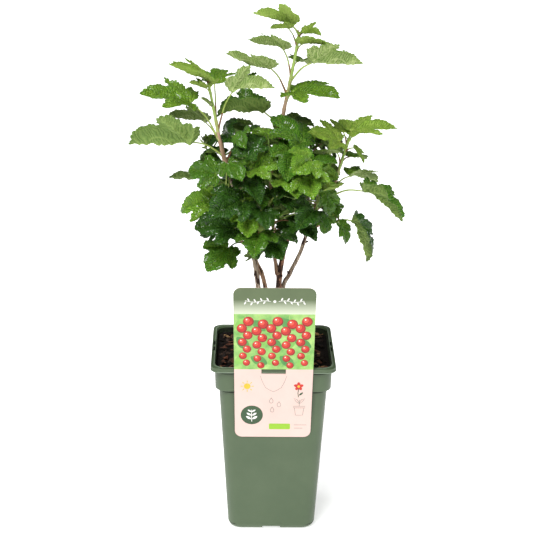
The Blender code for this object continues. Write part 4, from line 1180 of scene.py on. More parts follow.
def tree_of(shape):
    verts, faces = shape
    low = Vector([min(vert[k] for vert in verts) for k in range(3)])
    high = Vector([max(vert[k] for vert in verts) for k in range(3)])
    return BVHTree.FromPolygons(verts, faces), low, high


def limb_tree(path, radii, sides):
    """The space that a limb and its clearance take up."""
    verts = []
    faces = []
    sweep(verts, faces, path, lambda i, angle: radii[i] + CLEARANCE, sides)
    return tree_of((verts, faces))


def touches(one, others):
    tree, low, high = one
    for other, other_low, other_high in others:
        apart = any(low[k] > other_high[k] or high[k] < other_low[k] for k in range(3))
        if not apart and tree.overlap(other):
            return True
    return False


def side_twigs(stem, shoot, seed, obstacles):
    """Twigs that branch from the stem by turns to its left and right, where there is room."""
    twigs = []
    for i in range(shoot["twigs"]):
        dice = random.Random(seed * 100 + 50 + i)
        foot = path_at(stem, 0.40 + 0.30 * i)[0]
        run = heading(shoot["spiral"][1] + 75 + 150 * i + dice.uniform(-20, 20))
        climb = math.radians(TWIG_RISE + dice.uniform(-12, 12))
        length = TWIG_LENGTH / 1000 * dice.uniform(0.8, 1.2)
        reach = (run * math.cos(climb) + UP * math.sin(climb)) * length
        twig = [foot, foot + reach * 0.5 + UP * 0.002, foot + reach]
        radius = TWIG_WIDTH / 2000
        if not touches(limb_tree(twig, [radius] * 3, 3), obstacles):
            twigs.append((twig, [radius, radius, radius * 0.8]))
    return twigs


def spiral_rows(seed, count, first, stalk, blade):
    """Leaves up a stem: the lower ones longer stalked, larger and more drooping."""
    rows = []
    for i in range(count):
        dice = random.Random(seed * 100 + i)
        share = SPIRAL_START + (1 - SPIRAL_START) * i / max(count - 1, 1)
        azimuth = first + SPIRAL_STEP * i + dice.uniform(-14, 14)
        rise = 8 + 50 * share ** 1.4 + dice.uniform(-8, 8)
        size = 1.05 - 0.35 * share ** 2
        rows.append((share, azimuth, rise, stalk * size * dice.uniform(0.8, 1.2),
                     dice.uniform(-25, 25), blade * size * dice.uniform(0.88, 1.1),
                     -28 + 32 * share + dice.uniform(-16, 16), dice.uniform(-34, 34),
                     dice.uniform(*RULED_FOLD), dice.uniform(*RULED_DROOP)))
    return rows


def leaf_frame(limb, row, dice, spread):
    """Stalk path, blade origin, forward and face directions, length, fold and droop of a leaf.

    A spread above 0 moves the leaf at random from its row, to find it a clear place.
    """
    share, azimuth, rise, stalk, swing, blade, pitch, roll, fold, droop = row
    if spread:
        share = min(1.0, max(SPIRAL_START, share + dice.uniform(-0.3, 0.3) * spread))
        azimuth += dice.uniform(-1, 1) * (3 + 160 * spread)
        rise += dice.uniform(-1, 1) * (2 + 40 * spread)
        stalk *= 1 + dice.uniform(-0.5, 1.0) * spread
        blade *= 1 - dice.uniform(0.0, 0.4) * spread
        pitch += dice.uniform(-1, 1) * (2 + 40 * spread)
        roll += dice.uniform(-1, 1) * (3 + 50 * spread)
    foot = path_at(limb, share)[0]
    run = heading(azimuth)
    climb = math.radians(rise)
    base = foot + (run * math.cos(climb) + UP * math.sin(climb)) * stalk / 1000
    ahead = heading(azimuth + swing)
    dip = math.radians(pitch)
    forward = ahead * math.cos(dip) + UP * math.sin(dip)
    level = UP * math.cos(dip) - ahead * math.sin(dip)
    turn = math.radians(roll)
    normal = level * math.cos(turn) + forward.cross(level) * math.sin(turn)
    bow = (foot + base) / 2 + (UP * 0.10 - run * 0.02) * stalk / 1000
    neck = base + (bow - base).normalized() * min(0.0025, stalk / 4000)
    return [foot, bow, neck], base, forward, normal, blade / 1000, math.radians(fold), droop / 100


def in_body(leaf):
    """Whether the tip of a leaf stays inside the body of the crown."""
    _, base, forward, normal, length, _, droop = leaf
    tip = base + (forward - normal * droop) * length
    off = (tip - above_soil(BODY_CENTRE)) * 1000
    off.z -= BODY_TILT * off.x
    return sum((off[k] / BODY_REACH[k]) ** 2 for k in range(3)) < 1.0


def leaf_space(leaf, with_stalk=True):
    """The space that a blade, its stalk and their clearance take up: (corners, faces)."""
    path, base, forward, normal, length, fold, droop = leaf
    thick = LEAF_THICK + 2 * CLEARANCE
    radius = STALK_WIDTH / 2 + CLEARANCE
    right = forward.cross(normal)
    half = [(radius / length, 0.0)] + list(LEAF_HALF_OUTLINE)
    outline = half + [LEAF_TIP] + [(-x, y) for x, y in half[::-1]] + [LEAF_HEART]
    verts = []
    for offset in (thick / 2, -thick / 2):
        for x, y in outline:
            across = x * math.cos(fold)
            lift = abs(x) * math.sin(fold) - LEAF_CUP * x * x - droop * y * y
            verts.append(base + (right * across + forward * y + normal * lift) * length + normal * offset)
    count = len(outline)
    rim = count - 1
    faces = []
    for i in range(rim):
        j = (i + 1) % rim
        faces.append((rim, i, j))
        faces.append((count + rim, count + j, count + i))
        if j:
            faces.append((i, count + i, count + j, j))
    if not with_stalk:
        faces.append((rim - 1, count + rim - 1, count, 0))
        return verts, faces
    first = len(verts)
    up = normal
    for i, point in enumerate(path[::-1]):
        towards = base if i == 0 else path[-i]
        along = (towards - point).normalized()
        up = (up - along * up.dot(along)).normalized()
        beside = along.cross(up)
        for angle in (0, 120, 240):
            turn = math.radians(angle)
            verts.append(point + (up * math.cos(turn) + beside * math.sin(turn)) * radius * 1.15)
    top, low_right, low_left = first, first + 1, first + 2
    faces += [(top, rim - 1, 0), (top, 0, count, low_right), (low_right, count, count + rim - 1, low_left),
              (low_left, count + rim - 1, rim - 1, top)]
    for ring in range(len(path) - 1):
        for k in range(3):
            here = first + 3 * ring
            faces.append((here + k, here + (k + 1) % 3, here + 3 + (k + 1) % 3, here + 3 + k))
    faces.append(tuple(range(len(verts) - 3, len(verts))))
    return verts, faces


def plan_leaves(limbs, trees, obstacles):
    """Every shoot's leaves that find a clear place, the outline leaves first."""
    plans = {name: [] for name in SHOOTS}
    taken = list(obstacles)
    jobs = []
    for number, (name, shoot) in enumerate(SHOOTS.items()):
        jobs += [(0, number, name, 0, row) for row in shoot["leaves"]]
        ruled = enumerate(spiral_rows(number + 1, *shoot["spiral"]))
        jobs += [(1 + k, number, name, k % len(limbs[name]), row) for k, row in ruled]
    jobs.sort(key=lambda job: job[:2])
    for order, (rank, _, name, limb, row) in enumerate(jobs):
        own = trees[name]
        others = [tree for other in trees for tree in trees[other] if other != name]
        dice = random.Random(order)
        for attempt in range(TRIES):
            leaf = leaf_frame(limbs[name][limb][0], row, dice, attempt / TRIES)
            if rank and not in_body(leaf):
                continue
            space = tree_of(leaf_space(leaf))
            if touches(space, taken) or touches(space, others):
                continue
            if touches(tree_of(leaf_space(leaf, with_stalk=False)), own):
                continue
            plans[name].append(leaf)
            taken.append(space)
            break
    return plans, taken


def tip_leaves(limbs, taken):
    """The small folded leaves that open at the tip of every stem and twig, where there is room."""
    tips = {name: [] for name in SHOOTS}
    for number, (name, shoot) in enumerate(SHOOTS.items()):
        for limb, (path, _) in enumerate(limbs[name]):
            dice = random.Random(number * 10 + limb + 700)
            turn = dice.uniform(0, 360)
            for attempt in range(TIP_TRIES):
                row = (dice.uniform(0.92, 1.0), turn, dice.uniform(35, 78), dice.uniform(3, 9),
                       dice.uniform(-20, 20), dice.uniform(*TIP_BLADE), dice.uniform(15, 70),
                       dice.uniform(-15, 15), dice.uniform(*TIP_FOLD), dice.uniform(0, 15))
                leaf = leaf_frame(path, row, dice, 0.0)
                space = tree_of(leaf_space(leaf, with_stalk=False))
                turn += SPIRAL_STEP
                if touches(space, taken):
                    continue
                tips[name].append(leaf)
                taken.append(space)
                if len(tips[name]) == TIP_LEAVES * (limb + 1):
                    break
    return tips


def grow():
    """The stems, twigs and leaves of every shoot, and the small leaves at their tips."""
    canes = {name: cane_path(name, CANE_STEP, True) for name in CANES}
    obstacles = [limb_tree(path, radii, CANE_SIDES) for path, radii in canes.values()]
    limbs = {name: [stem_path(shoot, canes, STEM_STEP)] for name, shoot in SHOOTS.items()}
    trees = {name: [limb_tree(*limbs[name][0], STEM_SIDES)] for name in SHOOTS}
    for number, (name, shoot) in enumerate(SHOOTS.items()):
        around = obstacles + [tree for other in trees for tree in trees[other] if other != name]
        for twig, radii in side_twigs(limbs[name][0][0], shoot, number + 1, around):
            limbs[name].append((twig, radii))
            trees[name].append(limb_tree(twig, radii, 3))
    verts = []
    faces = []
    add_plate(verts, faces, card_outline(), -CARD_THICK / 2, CARD_THICK / 2)
    obstacles.append(tree_of((verts, faces)))
    plans, taken = plan_leaves(limbs, trees, obstacles)
    taken += [tree for name in trees for tree in trees[name]]
    stems = {name: stem_path(shoot, canes, FINE_STEM_STEP) for name, shoot in SHOOTS.items()}
    return limbs, stems, plans, tip_leaves(limbs, taken)


def stem_looks():
    along = (1.0, 1.0, 0.25)
    return {
        "woody": surface("stem_woody", paint(150, 118, 88), paint(110, 78, 56), 380, 1000,
                         0.5, 0.8, 0.0002, along),
        "turning": surface("stem_turning", paint(198, 164, 138), paint(168, 134, 100), 300, 1000,
                           0.42, 0.65, 0.0001, along),
        "pale": surface("stem_pale", paint(194, 194, 132), paint(168, 176, 94), 260, 1000,
                        0.4, 0.6, 0.0001, along),
        "green": surface("stem_green", paint(174, 198, 108), paint(142, 174, 72), 240, 1000,
                         0.38, 0.58, 0.0001, along),
    }


def stem_look(name, share):
    """The long shoots ripen from green tips to a tan foot; the small ones inside are woody."""
    if name.startswith("shoot"):
        return "turning" if share < 0.40 else "pale" if share < 0.58 else "green"
    return "woody" if share < 0.40 else "turning" if share < 0.65 else "green"


def build_stems():
    looks = stem_looks()
    names = list(looks)
    for group, members in SHOOT_GROUPS.items():
        verts = []
        faces = []
        looks_of = []
        for number, name in enumerate(members):
            path, radii = stems[name]
            path = [path[0] - (path[1] - path[0]).normalized() * STEM_SINK] + path
            stout = LONG_STEM_STOUT if name.startswith("shoot") else 1.0
            radii = [radius * stout for radius in [radii[0] * 1.15] + radii]
            feet = [leaf[0][0] for leaf in plans[name]]

            def ring_of(i, angle):
                knot = sum(math.exp(-((path[i] - foot).length / 0.0024) ** 2) for foot in feet)
                around = Vector((math.cos(angle) * 1.6, math.sin(angle) * 1.6 + number, path[i].z * 60))
                return radii[i] * (1 + 0.22 * min(knot, 1.3) + 0.07 * noise.noise(around))

            sweep(verts, faces, path, ring_of, FINE_STEM_SIDES)
            for i in range(len(path) - 1):
                share = i / (len(path) - 1)
                for k in range(FINE_STEM_SIDES):
                    ripe = share + 0.10 * noise.noise(Vector((k * 0.7, i * 0.35, number)))
                    looks_of.append(names.index(stem_look(name, ripe)))
            looks_of += [names.index("woody"), names.index("green")]
            along = (path[-1] - path[-2]).normalized()
            bud(verts, faces, path[-1] - along * 0.0006, along, along.orthogonal(), 0.0055, 0.0030)
            for twig, twig_radii in limbs[name][1:]:
                fine = smooth_path(twig, FINE_STEM_STEP)
                last = len(fine) - 1
                sweep(verts, faces, fine, lambda i, angle: twig_radii[0] * (1.2 - 0.35 * i / last), 10)
                along = (fine[-1] - fine[-2]).normalized()
                bud(verts, faces, fine[-1] - along * 0.0006, along, along.orthogonal(), 0.0042, 0.0022)
            looks_of += [names.index("green")] * (len(faces) - len(looks_of))
        mesh = mesh_from("stems_" + group, verts, faces, looks.values(), looks_of, smooth_below=50)
        place("stems_" + group, mesh, "foliage", *members)


limbs, stems, plans, tips = grow()
build_stems()


# The leaf stalks are slender, a little fleshy and downy, pale green to reddish brown. Each
# clasps the stem with a widened foot, with a small bud in the angle above it.
FINE_STALK_STEP = 0.0022
STALK_SIDES = 8
STALK_FOOT_RADIUS = 0.00105
STALK_NECK_RADIUS = 0.00070
STALK_FLARE = 0.0007
STALK_FLARE_LENGTH = 0.003
FLUSHED_SHARE = 0.45
FULL_SIZE_BLADE = 0.045


def stalk_looks():
    return {
        "green": surface("stalk_green", paint(176, 194, 104), paint(146, 170, 70), 200, 1000,
                         0.38, 0.58, 0.0001),
        "deep": surface("stalk_deep", paint(120, 148, 64), paint(90, 120, 46), 200, 1000,
                        0.38, 0.58, 0.0001),
        "red": surface("stalk_red", paint(150, 118, 72), paint(116, 74, 48), 200, 1000,
                       0.4, 0.6, 0.0001),
    }


def stalk_path(leaf):
    path, base, _, normal = leaf[:4]
    return smooth_path([*path, base - normal * LEAF_THICK * 0.6], FINE_STALK_STEP)


def build_stalks():
    looks = stalk_looks()
    names = list(looks)
    for number, (group, members) in enumerate(SHOOT_GROUPS.items()):
        verts = []
        faces = []
        looks_of = []
        dice = random.Random(90 + number)
        for name in members:
            long_shoot = name.startswith("shoot")
            for leaf in plans[name] + tips[name]:
                path = stalk_path(leaf)
                last = len(path) - 1
                scale = 0.55 + 0.45 * min(1.0, leaf[4] / FULL_SIZE_BLADE)

                def ring_of(i, angle):
                    far = (path[i] - path[0]).length
                    even = STALK_FOOT_RADIUS + (STALK_NECK_RADIUS - STALK_FOOT_RADIUS) * i / last
                    return scale * (even + STALK_FLARE * math.exp(-far / STALK_FLARE_LENGTH))

                sweep(verts, faces, path, ring_of, STALK_SIDES)
                pick = dice.random()
                look = "red" if pick < 0.05 else "green" if long_shoot or pick < 0.55 else "deep"
                flushed = FLUSHED_SHARE if long_shoot and pick > 0.4 else 0
                for i in range(last):
                    looks_of += [names.index("red" if i < flushed * last else look)] * STALK_SIDES
                looks_of += [names.index(look)] * (len(faces) - len(looks_of))
                seat = path[0] + UP * 0.0014 + (path[1] - path[0]).normalized() * 0.0012
                bud(verts, faces, seat, UP, (path[1] - path[0]).normalized(), 0.0030, 0.0015)
                looks_of += [names.index("red")] * (len(faces) - len(looks_of))
        mesh = mesh_from("leaf_stalks_" + group, verts, faces, looks.values(), looks_of, smooth_below=60)
        place("leaf_stalks_" + group, mesh, "foliage", *members)


build_stalks()


# Inside the crown the tones are also dealt by place: darker at the back and in some groups as painted shade, brighter
# up high as painted light.
# The leaves are thin and soft, with three to five blunt lobes and coarse rounded teeth. The
# veins lie sunk in the upper face, which puckers up between them, and stand out as pale ribs
# below. The young ones are yellow-green and folded, the old ones dark, glossy and arched.
# Half outlines in units of the blade's length, from the stalk up the right side to the tip.
HALF_OUTLINES = {
    "broad": ((0.0, 0.0), (0.04, -0.07), (0.12, -0.14), (0.25, -0.165), (0.38, -0.13), (0.46, -0.05),
              (0.465, 0.04), (0.43, 0.12), (0.51, 0.18), (0.60, 0.27), (0.65, 0.39), (0.64, 0.50),
              (0.565, 0.555), (0.46, 0.545), (0.355, 0.51), (0.36, 0.59), (0.385, 0.68), (0.345, 0.79),
              (0.25, 0.89), (0.13, 0.965), (0.0, 1.01)),
    "pointed": ((0.0, 0.0), (0.05, -0.05), (0.13, -0.115), (0.26, -0.135), (0.385, -0.09), (0.45, 0.0),
                (0.42, 0.07), (0.385, 0.13), (0.46, 0.20), (0.555, 0.30), (0.62, 0.43), (0.65, 0.575),
                (0.565, 0.585), (0.43, 0.545), (0.305, 0.485), (0.30, 0.565), (0.325, 0.66), (0.29, 0.78),
                (0.20, 0.89), (0.09, 0.98), (0.0, 1.05)),
}
LOBULE_PITCH = 0.205
LOBULE_DEPTH = 0.030
TOOTH_PITCH = 0.088
TOOTH_DEPTH = 0.026
TOOTH_FADE = 0.16
MAIN_VEINS = (((0.0, 0.0), (0.0, 0.5), (0.0, 0.955)), ((0.0, 0.0), (0.25, 0.16), (0.60, 0.515)),
              ((0.0, 0.0), (0.20, -0.06), (0.42, -0.055)))
SIDE_VEIN_STARTS = ((0.30, 0.42, 0.53, 0.64, 0.75, 0.86), (0.28, 0.44, 0.59, 0.73, 0.86),
                    (0.38, 0.62, 0.84))
SIDE_VEIN_TURN = 50
SIDE_VEIN_BEND = 9
SIDE_VEIN_CLEAR = 0.036
VEIN_SINK = 0.018
VEIN_SINK_WIDTH = 0.030
PLEAT = 0.075
PLEAT_WIDTH = 0.11
PUCKER = 0.038
PUCKER_WIDTH = 0.034
EDGE_CURL = 0.032
EDGE_WIDTH = 0.070
GRIDS = {"full": (0.042, 0.0190), "middle": (0.055, 0.0230), "small": (0.085, 0.032)}
MIDDLE_BLADE = 0.036
LEAF_AGES = {"young": (0.0, 0.2), "fresh": (0.15, 0.4), "grown": (0.5, 0.9), "bright": (0.5, 1.0),
             "dark": (0.6, 1.1)}
# Painted shade and light in the crown: leaves set further back than this are dealt mostly dark, and leaves higher than
# the next are dealt bright more often.
SHADED_BACK_DEPTH = 0.010
LIT_HIGH_LEAVES = 0.195
# Shares of bright and grown leaves in each group, the rest dark, set by where light and shade fall on the crown:
# painted light and painted shade on top of random tone.
CROWN_LIGHT_AND_SHADE_SHARES = {"left": (0.16, 0.48), "left_low": (0.17, 0.50), "middle": (0.31, 0.33), "low": (0.18, 0.47),
               "right": (0.20, 0.47), "right_back": (0.15, 0.45), "back": (0.0, 0.3)}
BLADE_THICK = 0.00034
STREAK_TURN = 110.0
MIDRIB_SOFT = 0.02
RIB_SIDES = 4
RIB_RADII = (0.010, 0.0028)


def spaced_curve(points, step):
    """Flat points about step apart on the smooth curve through the given ones."""
    path = smooth_path([Vector((x, y, 0)) for x, y in points], step)
    return np.array([(point.x, point.y) for point in path])


def toothed_half(points, dice, step):
    """The right half of a blade's outline, its margin cut into small lobes and rounded teeth."""
    line = spaced_curve(points, 0.004)
    run = np.concatenate([[0.0], np.cumsum(np.linalg.norm(np.diff(line, axis=0), axis=1))])
    marks = [0.0]
    while marks[-1] < run[-1]:
        marks.append(marks[-1] + TOOTH_PITCH * dice.uniform(0.78, 1.22))
    marks = np.array(marks) * run[-1] / marks[-1]
    shift = dice.uniform(0, 1)
    half = []
    for start, end in zip(marks, marks[1:]):
        count = max(3, round((end - start) / step))
        height = TOOTH_DEPTH * dice.uniform(0.6, 1.2)
        for k in range(count):
            at = start + (end - start) * k / count
            x, y = (np.interp(at, run, line[:, axis]) for axis in (0, 1))
            run_x, run_y = (np.interp(at + 0.02, run, line[:, axis]) - np.interp(at - 0.02, run, line[:, axis])
                            for axis in (0, 1))
            reach = math.hypot(run_x, run_y)
            crest = math.sin(math.pi * (k / count) ** 1.2) ** 0.55
            lobule = abs(math.sin(math.pi * (at / LOBULE_PITCH + shift)))
            proud = (height * (crest - 0.6) + LOBULE_DEPTH * (lobule - 0.6)) * min(1.0, at / TOOTH_FADE)
            half.append((max(0.0, x + run_y / reach * proud), y - run_x / reach * proud))
    return half


def gap_to(points, lines):
    """The distance from each point to the nearest of the lines."""
    points = np.asarray(points, float)
    nearest = np.full(len(points), 9.0)
    for line in lines:
        start, end = np.asarray(line[:-1]), np.asarray(line[1:])
        along = end - start
        length = np.maximum((along ** 2).sum(1), 1e-12)
        off = points[:, None, :] - start[None]
        share = np.clip((off * along[None]).sum(2) / length[None], 0, 1)
        gap = np.linalg.norm(off - share[..., None] * along[None], axis=2).min(1)
        nearest = np.minimum(nearest, gap)
    return nearest


def streak_run(points, veins):
    """Where a line that leaves its main vein by the side veins' angle, and meets the point, starts."""
    points = np.asarray(points, float)
    nearest = np.full(len(points), 9.0)
    run = np.zeros(len(points))
    for vein in veins:
        along = np.concatenate([[0.0], np.cumsum(np.linalg.norm(np.diff(vein, axis=0), axis=1))])
        gap = np.linalg.norm(points[:, None, :] - vein[None], axis=2)
        closest = gap.argmin(1)
        gap = gap.min(1)
        start = along[closest] - gap / math.tan(math.radians(SIDE_VEIN_TURN))
        run = np.where(gap < nearest, start, run)
        nearest = np.minimum(nearest, gap)
    return run


def inside(points, loop):
    """Whether each point lies inside the loop."""
    points = np.asarray(points, float)
    within = np.zeros(len(points), bool)
    for (x0, y0), (x1, y1) in zip(loop, np.roll(loop, -1, axis=0)):
        if y0 == y1:
            continue
        spans = (points[:, 1] < y0) != (points[:, 1] < y1)
        at = x0 + (points[:, 1] - y0) / (y1 - y0) * (x1 - x0)
        within ^= spans & (points[:, 0] < at)
    return within


def main_veins(step):
    """The midrib and the main vein of each lobe: the same on both sides, and all from the stalk."""
    veins = []
    for start, middle, end in MAIN_VEINS:
        start, middle, end = (np.array(point) for point in (start, middle, end))
        count = max(4, round(np.linalg.norm(end - start) / step))
        line = np.array([start * (1 - t) ** 2 + middle * 2 * t * (1 - t) + end * t * t
                         for t in np.linspace(0, 1, count + 1)])
        veins.append(line)
        if end[0] > 0:
            veins.append(line * (-1, 1))
    return veins


def side_veins(veins, loop, step):
    """Veins that leave a main one by a steady angle and stop short of the margin and each other."""
    sides = []
    margin = [np.vstack([loop, loop[:1]])]
    starts = (SIDE_VEIN_STARTS[0], *[SIDE_VEIN_STARTS[1]] * 2, *[SIDE_VEIN_STARTS[2]] * 2)
    for number, (vein, shares) in enumerate(zip(veins, starts)):
        others = [other for k, other in enumerate(veins) if k != number]
        for share in shares:
            level = share * (len(vein) - 1)
            k = min(int(level), len(vein) - 2)
            foot = vein[k] + (vein[k + 1] - vein[k]) * (level - k)
            run = vein[k + 1] - vein[k]
            for side in (-1, 1):
                angle = math.atan2(run[1], run[0]) + side * math.radians(SIDE_VEIN_TURN)
                line = [foot]
                while len(line) < 14:
                    spot = line[-1] + np.array([math.cos(angle), math.sin(angle)]) * step
                    near = gap_to([spot], margin)[0] < SIDE_VEIN_CLEAR * 0.7
                    near = near or gap_to([spot], others + sides)[0] < SIDE_VEIN_CLEAR
                    if near or not inside([spot], loop)[0]:
                        break
                    line.append(spot)
                    angle -= side * math.radians(SIDE_VEIN_BEND) * step / 0.04
                if len(line) > 1:
                    sides.append(np.array(line))
    return sides


def spaced_vein(vein):
    """The vein with many more points on it."""
    at = np.linspace(0, len(vein) - 1, 160)
    return np.stack([np.interp(at, np.arange(len(vein)), vein[:, axis]) for axis in (0, 1)], 1)


def leaf_template(kind, seed, grid, rim):
    """A flat blade as triangles that follow its margin and veins, with what shapes its relief."""
    dice = random.Random(seed)
    right = toothed_half(HALF_OUTLINES[kind], dice, rim)
    left = toothed_half(HALF_OUTLINES[kind], dice, rim)
    loop = np.array(right + [HALF_OUTLINES[kind][-1]] + [(-x, y) for x, y in left[:0:-1]])
    veins = main_veins(grid)
    sides = side_veins(veins, loop, grid)
    spots = []
    for row in range(int(1.4 / (grid * 0.866))):
        for column in range(int(1.4 / grid)):
            x = -0.7 + (column + 0.5 * (row % 2)) * grid + dice.uniform(-0.12, 0.12) * grid
            y = -0.22 + row * grid * 0.866 + dice.uniform(-0.12, 0.12) * grid
            spots.append((x, y))
    spots = np.array(spots)
    closed = [np.vstack([loop, loop[:1]])]
    free = inside(spots, loop) & (gap_to(spots, closed) > 0.42 * grid)
    free &= gap_to(spots, veins + sides) > 0.45 * grid
    points = [tuple(point) for point in loop] + [tuple(point) for point in spots[free]]
    edges = [(i, (i + 1) % len(loop)) for i in range(len(loop))]
    lines = []
    for line in veins + sides:
        first = len(points)
        points += [tuple(point) for point in line]
        lines.append(list(range(first, first + len(line))))
        edges += [(i, i + 1) for i in range(first, first + len(line) - 1)]
    made, _, tris, origins, _, _ = delaunay_2d_cdt([Vector(point) for point in points], edges, [], 1, 1e-5)
    index = {origin: i for i, group in enumerate(origins) for origin in group}
    flat = np.array([(point.x, point.y) for point in made])
    tris = [tri if area_of([made[i] for i in tri]) > 0 else tri[::-1] for tri in tris]
    return {
        "flat": flat,
        "tris": np.array([tuple(tri) for tri in tris]),
        "rim": [index[i] for i in range(len(loop))],
        "ribs": [[index[i] for i in line] for line in lines[:len(veins)]],
        "main": gap_to(flat, veins),
        "side": gap_to(flat, sides),
        "edge": gap_to(flat, closed),
        "run": streak_run(flat, [spaced_vein(vein) for vein in veins]),
    }


def blade_surface(template, leaf, age, seed):
    """The corners of a blade's upper face, bent to its fold and droop, with its relief.

    Age runs from 0, a young smooth blade, to 1, an old one, pleated, puckered and curled.
    """
    _, base, forward, normal, length, fold, droop = leaf
    x, y = template["flat"].T
    rise = np.sqrt(x * x + MIDRIB_SOFT ** 2) - MIDRIB_SOFT
    lift = math.sin(fold) * rise - LEAF_CUP * x * x - droop * y * y
    lift -= VEIN_SINK * np.exp(-(template["main"] / VEIN_SINK_WIDTH) ** 2)
    lift += PLEAT * (0.4 + age) * (1 - np.exp(-(template["main"] / PLEAT_WIDTH) ** 2))
    inner = 1 - np.exp(-(template["edge"] / 0.05) ** 2)
    lift += PUCKER * (0.5 + 0.7 * age) * inner * (1 - np.exp(-(template["side"] / PUCKER_WIDTH) ** 2))
    lift -= EDGE_CURL * age * np.exp(-(template["edge"] / EDGE_WIDTH) ** 2)
    wave = [noise.noise(Vector((px * 2.3 + seed * 3.1, py * 2.3, seed * 1.7))) for px, py in template["flat"]]
    crinkle = [noise.noise(Vector((px * 10, py * 10 + seed, 5.0))) for px, py in template["flat"]]
    lift += (0.05 + 0.07 * age) * np.array(wave) + 0.012 * np.array(crinkle)
    axes = np.array([forward.cross(normal), forward, normal])
    return np.array(base) + (np.stack([x * math.cos(fold), y, lift], 1) @ axes) * length


def leaf_skin_group():
    """Leaf tissue: drifting green, the veins' paler lines, and the fine net that puckers it."""
    group, given, made = new_group("leaf_skin", [
        ("Light", "NodeSocketColor", (0.2, 0.4, 0.1, 1.0)),
        ("Dark", "NodeSocketColor", (0.1, 0.3, 0.1, 1.0)),
        ("Vein", "NodeSocketColor", (0.4, 0.5, 0.2, 1.0)),
        ("Vein Strength", "NodeSocketFloat", 0.5),
        ("Net Strength", "NodeSocketFloat", 0.2),
        ("Net Scale", "NodeSocketFloat", 360.0),
        ("Smooth", "NodeSocketFloat", 0.35),
        ("Rough", "NodeSocketFloat", 0.5),
        ("Gloss", "NodeSocketFloat", 0.5),
    ], [("Color", "NodeSocketColor"), ("Roughness", "NodeSocketFloat"), ("Height", "NodeSocketFloat"),
        ("Gloss", "NodeSocketFloat")])
    nodes, links = group.nodes, group.links

    def ranged(source, start, end, low, high):
        node = nodes.new("ShaderNodeMapRange")
        for label, value in (("From Min", start), ("From Max", end), ("To Min", low), ("To Max", high)):
            node.inputs[label].default_value = value
        links.new(source, node.inputs["Value"])
        return node.outputs["Result"]

    def worked(operation, first, second):
        node = nodes.new("ShaderNodeMath")
        node.operation = operation
        for socket, value in zip(node.inputs, (first, second)):
            if isinstance(value, float):
                socket.default_value = value
            else:
                links.new(value, socket)
        return node.outputs["Value"]

    spot = nodes.new("ShaderNodeTexCoord").outputs["Object"]
    base = nodes.new("ShaderNodeGroup")
    base.node_tree = MOTTLE
    base.inputs["Scale"].default_value = 70.0
    links.new(given.outputs["Light"], base.inputs["Light"])
    links.new(given.outputs["Dark"], base.inputs["Dark"])
    net = nodes.new("ShaderNodeTexVoronoi")
    net.feature = "DISTANCE_TO_EDGE"
    links.new(spot, net.inputs["Vector"])
    links.new(given.outputs["Net Scale"], net.inputs["Scale"])
    fine = nodes.new("ShaderNodeTexNoise")
    fine.inputs["Scale"].default_value = 1500.0
    links.new(spot, fine.inputs["Vector"])
    main = nodes.new("ShaderNodeAttribute")
    main.attribute_name = "main_rib"
    side = nodes.new("ShaderNodeAttribute")
    side.attribute_name = "side_rib"
    main_line = ranged(main.outputs["Fac"], 0.005, 0.030, 1.0, 0.0)
    side_line = ranged(side.outputs["Fac"], 0.003, 0.021, 0.75, 0.0)
    lines = worked("MULTIPLY", worked("MAXIMUM", main_line, side_line), given.outputs["Vein Strength"])
    swell = ranged(net.outputs["Distance"], 0.0, 0.22, 0.0, 1.0)
    run = nodes.new("ShaderNodeAttribute")
    run.attribute_name = "streak_run"
    drift = nodes.new("ShaderNodeTexNoise")
    drift.inputs["Scale"].default_value = 120.0
    links.new(spot, drift.inputs["Vector"])
    bent = worked("ADD", run.outputs["Fac"], worked("MULTIPLY", drift.outputs["Fac"], 0.17))
    ridge = worked("SINE", worked("MULTIPLY", bent, STREAK_TURN), 0.0)
    streak = ranged(ridge, -0.2, 1.0, 0.0, 1.0)
    pale = worked("MULTIPLY", worked("SUBTRACT", 1.0, swell), worked("SUBTRACT", 1.0, streak))
    mesh_line = worked("MULTIPLY", worked("MAXIMUM", pale, worked("SUBTRACT", 0.6, streak)),
                       given.outputs["Net Strength"])
    mix = nodes.new("ShaderNodeMix")
    mix.data_type = "RGBA"
    links.new(worked("MAXIMUM", lines, mesh_line), mix.inputs["Factor"])
    links.new(base.outputs["Color"], mix.inputs["A"])
    links.new(given.outputs["Vein"], mix.inputs["B"])
    links.new(mix.outputs["Result"], made.inputs["Color"])
    worn = worked("SUBTRACT", ranged(fine.outputs["Fac"], 0.3, 0.7, 0.6, 1.0), worked("MULTIPLY", streak, 0.6))
    span = worked("SUBTRACT", given.outputs["Rough"], given.outputs["Smooth"])
    rough = worked("ADD", worked("MULTIPLY", worn, span), given.outputs["Smooth"])
    links.new(rough, made.inputs["Roughness"])
    crest = worked("MULTIPLY", ranged(ridge, -0.1, 0.5, 0.04, 1.0), ranged(swell, 0.2, 0.8, 0.45, 1.0))
    links.new(worked("MULTIPLY", crest, given.outputs["Gloss"]), made.inputs["Gloss"])
    height = worked("ADD", worked("MULTIPLY", swell, 0.45), streak)
    links.new(worked("SUBTRACT", height, worked("MULTIPLY", lines, 0.8)), made.inputs["Height"])
    return group


LEAF_SKIN = leaf_skin_group()


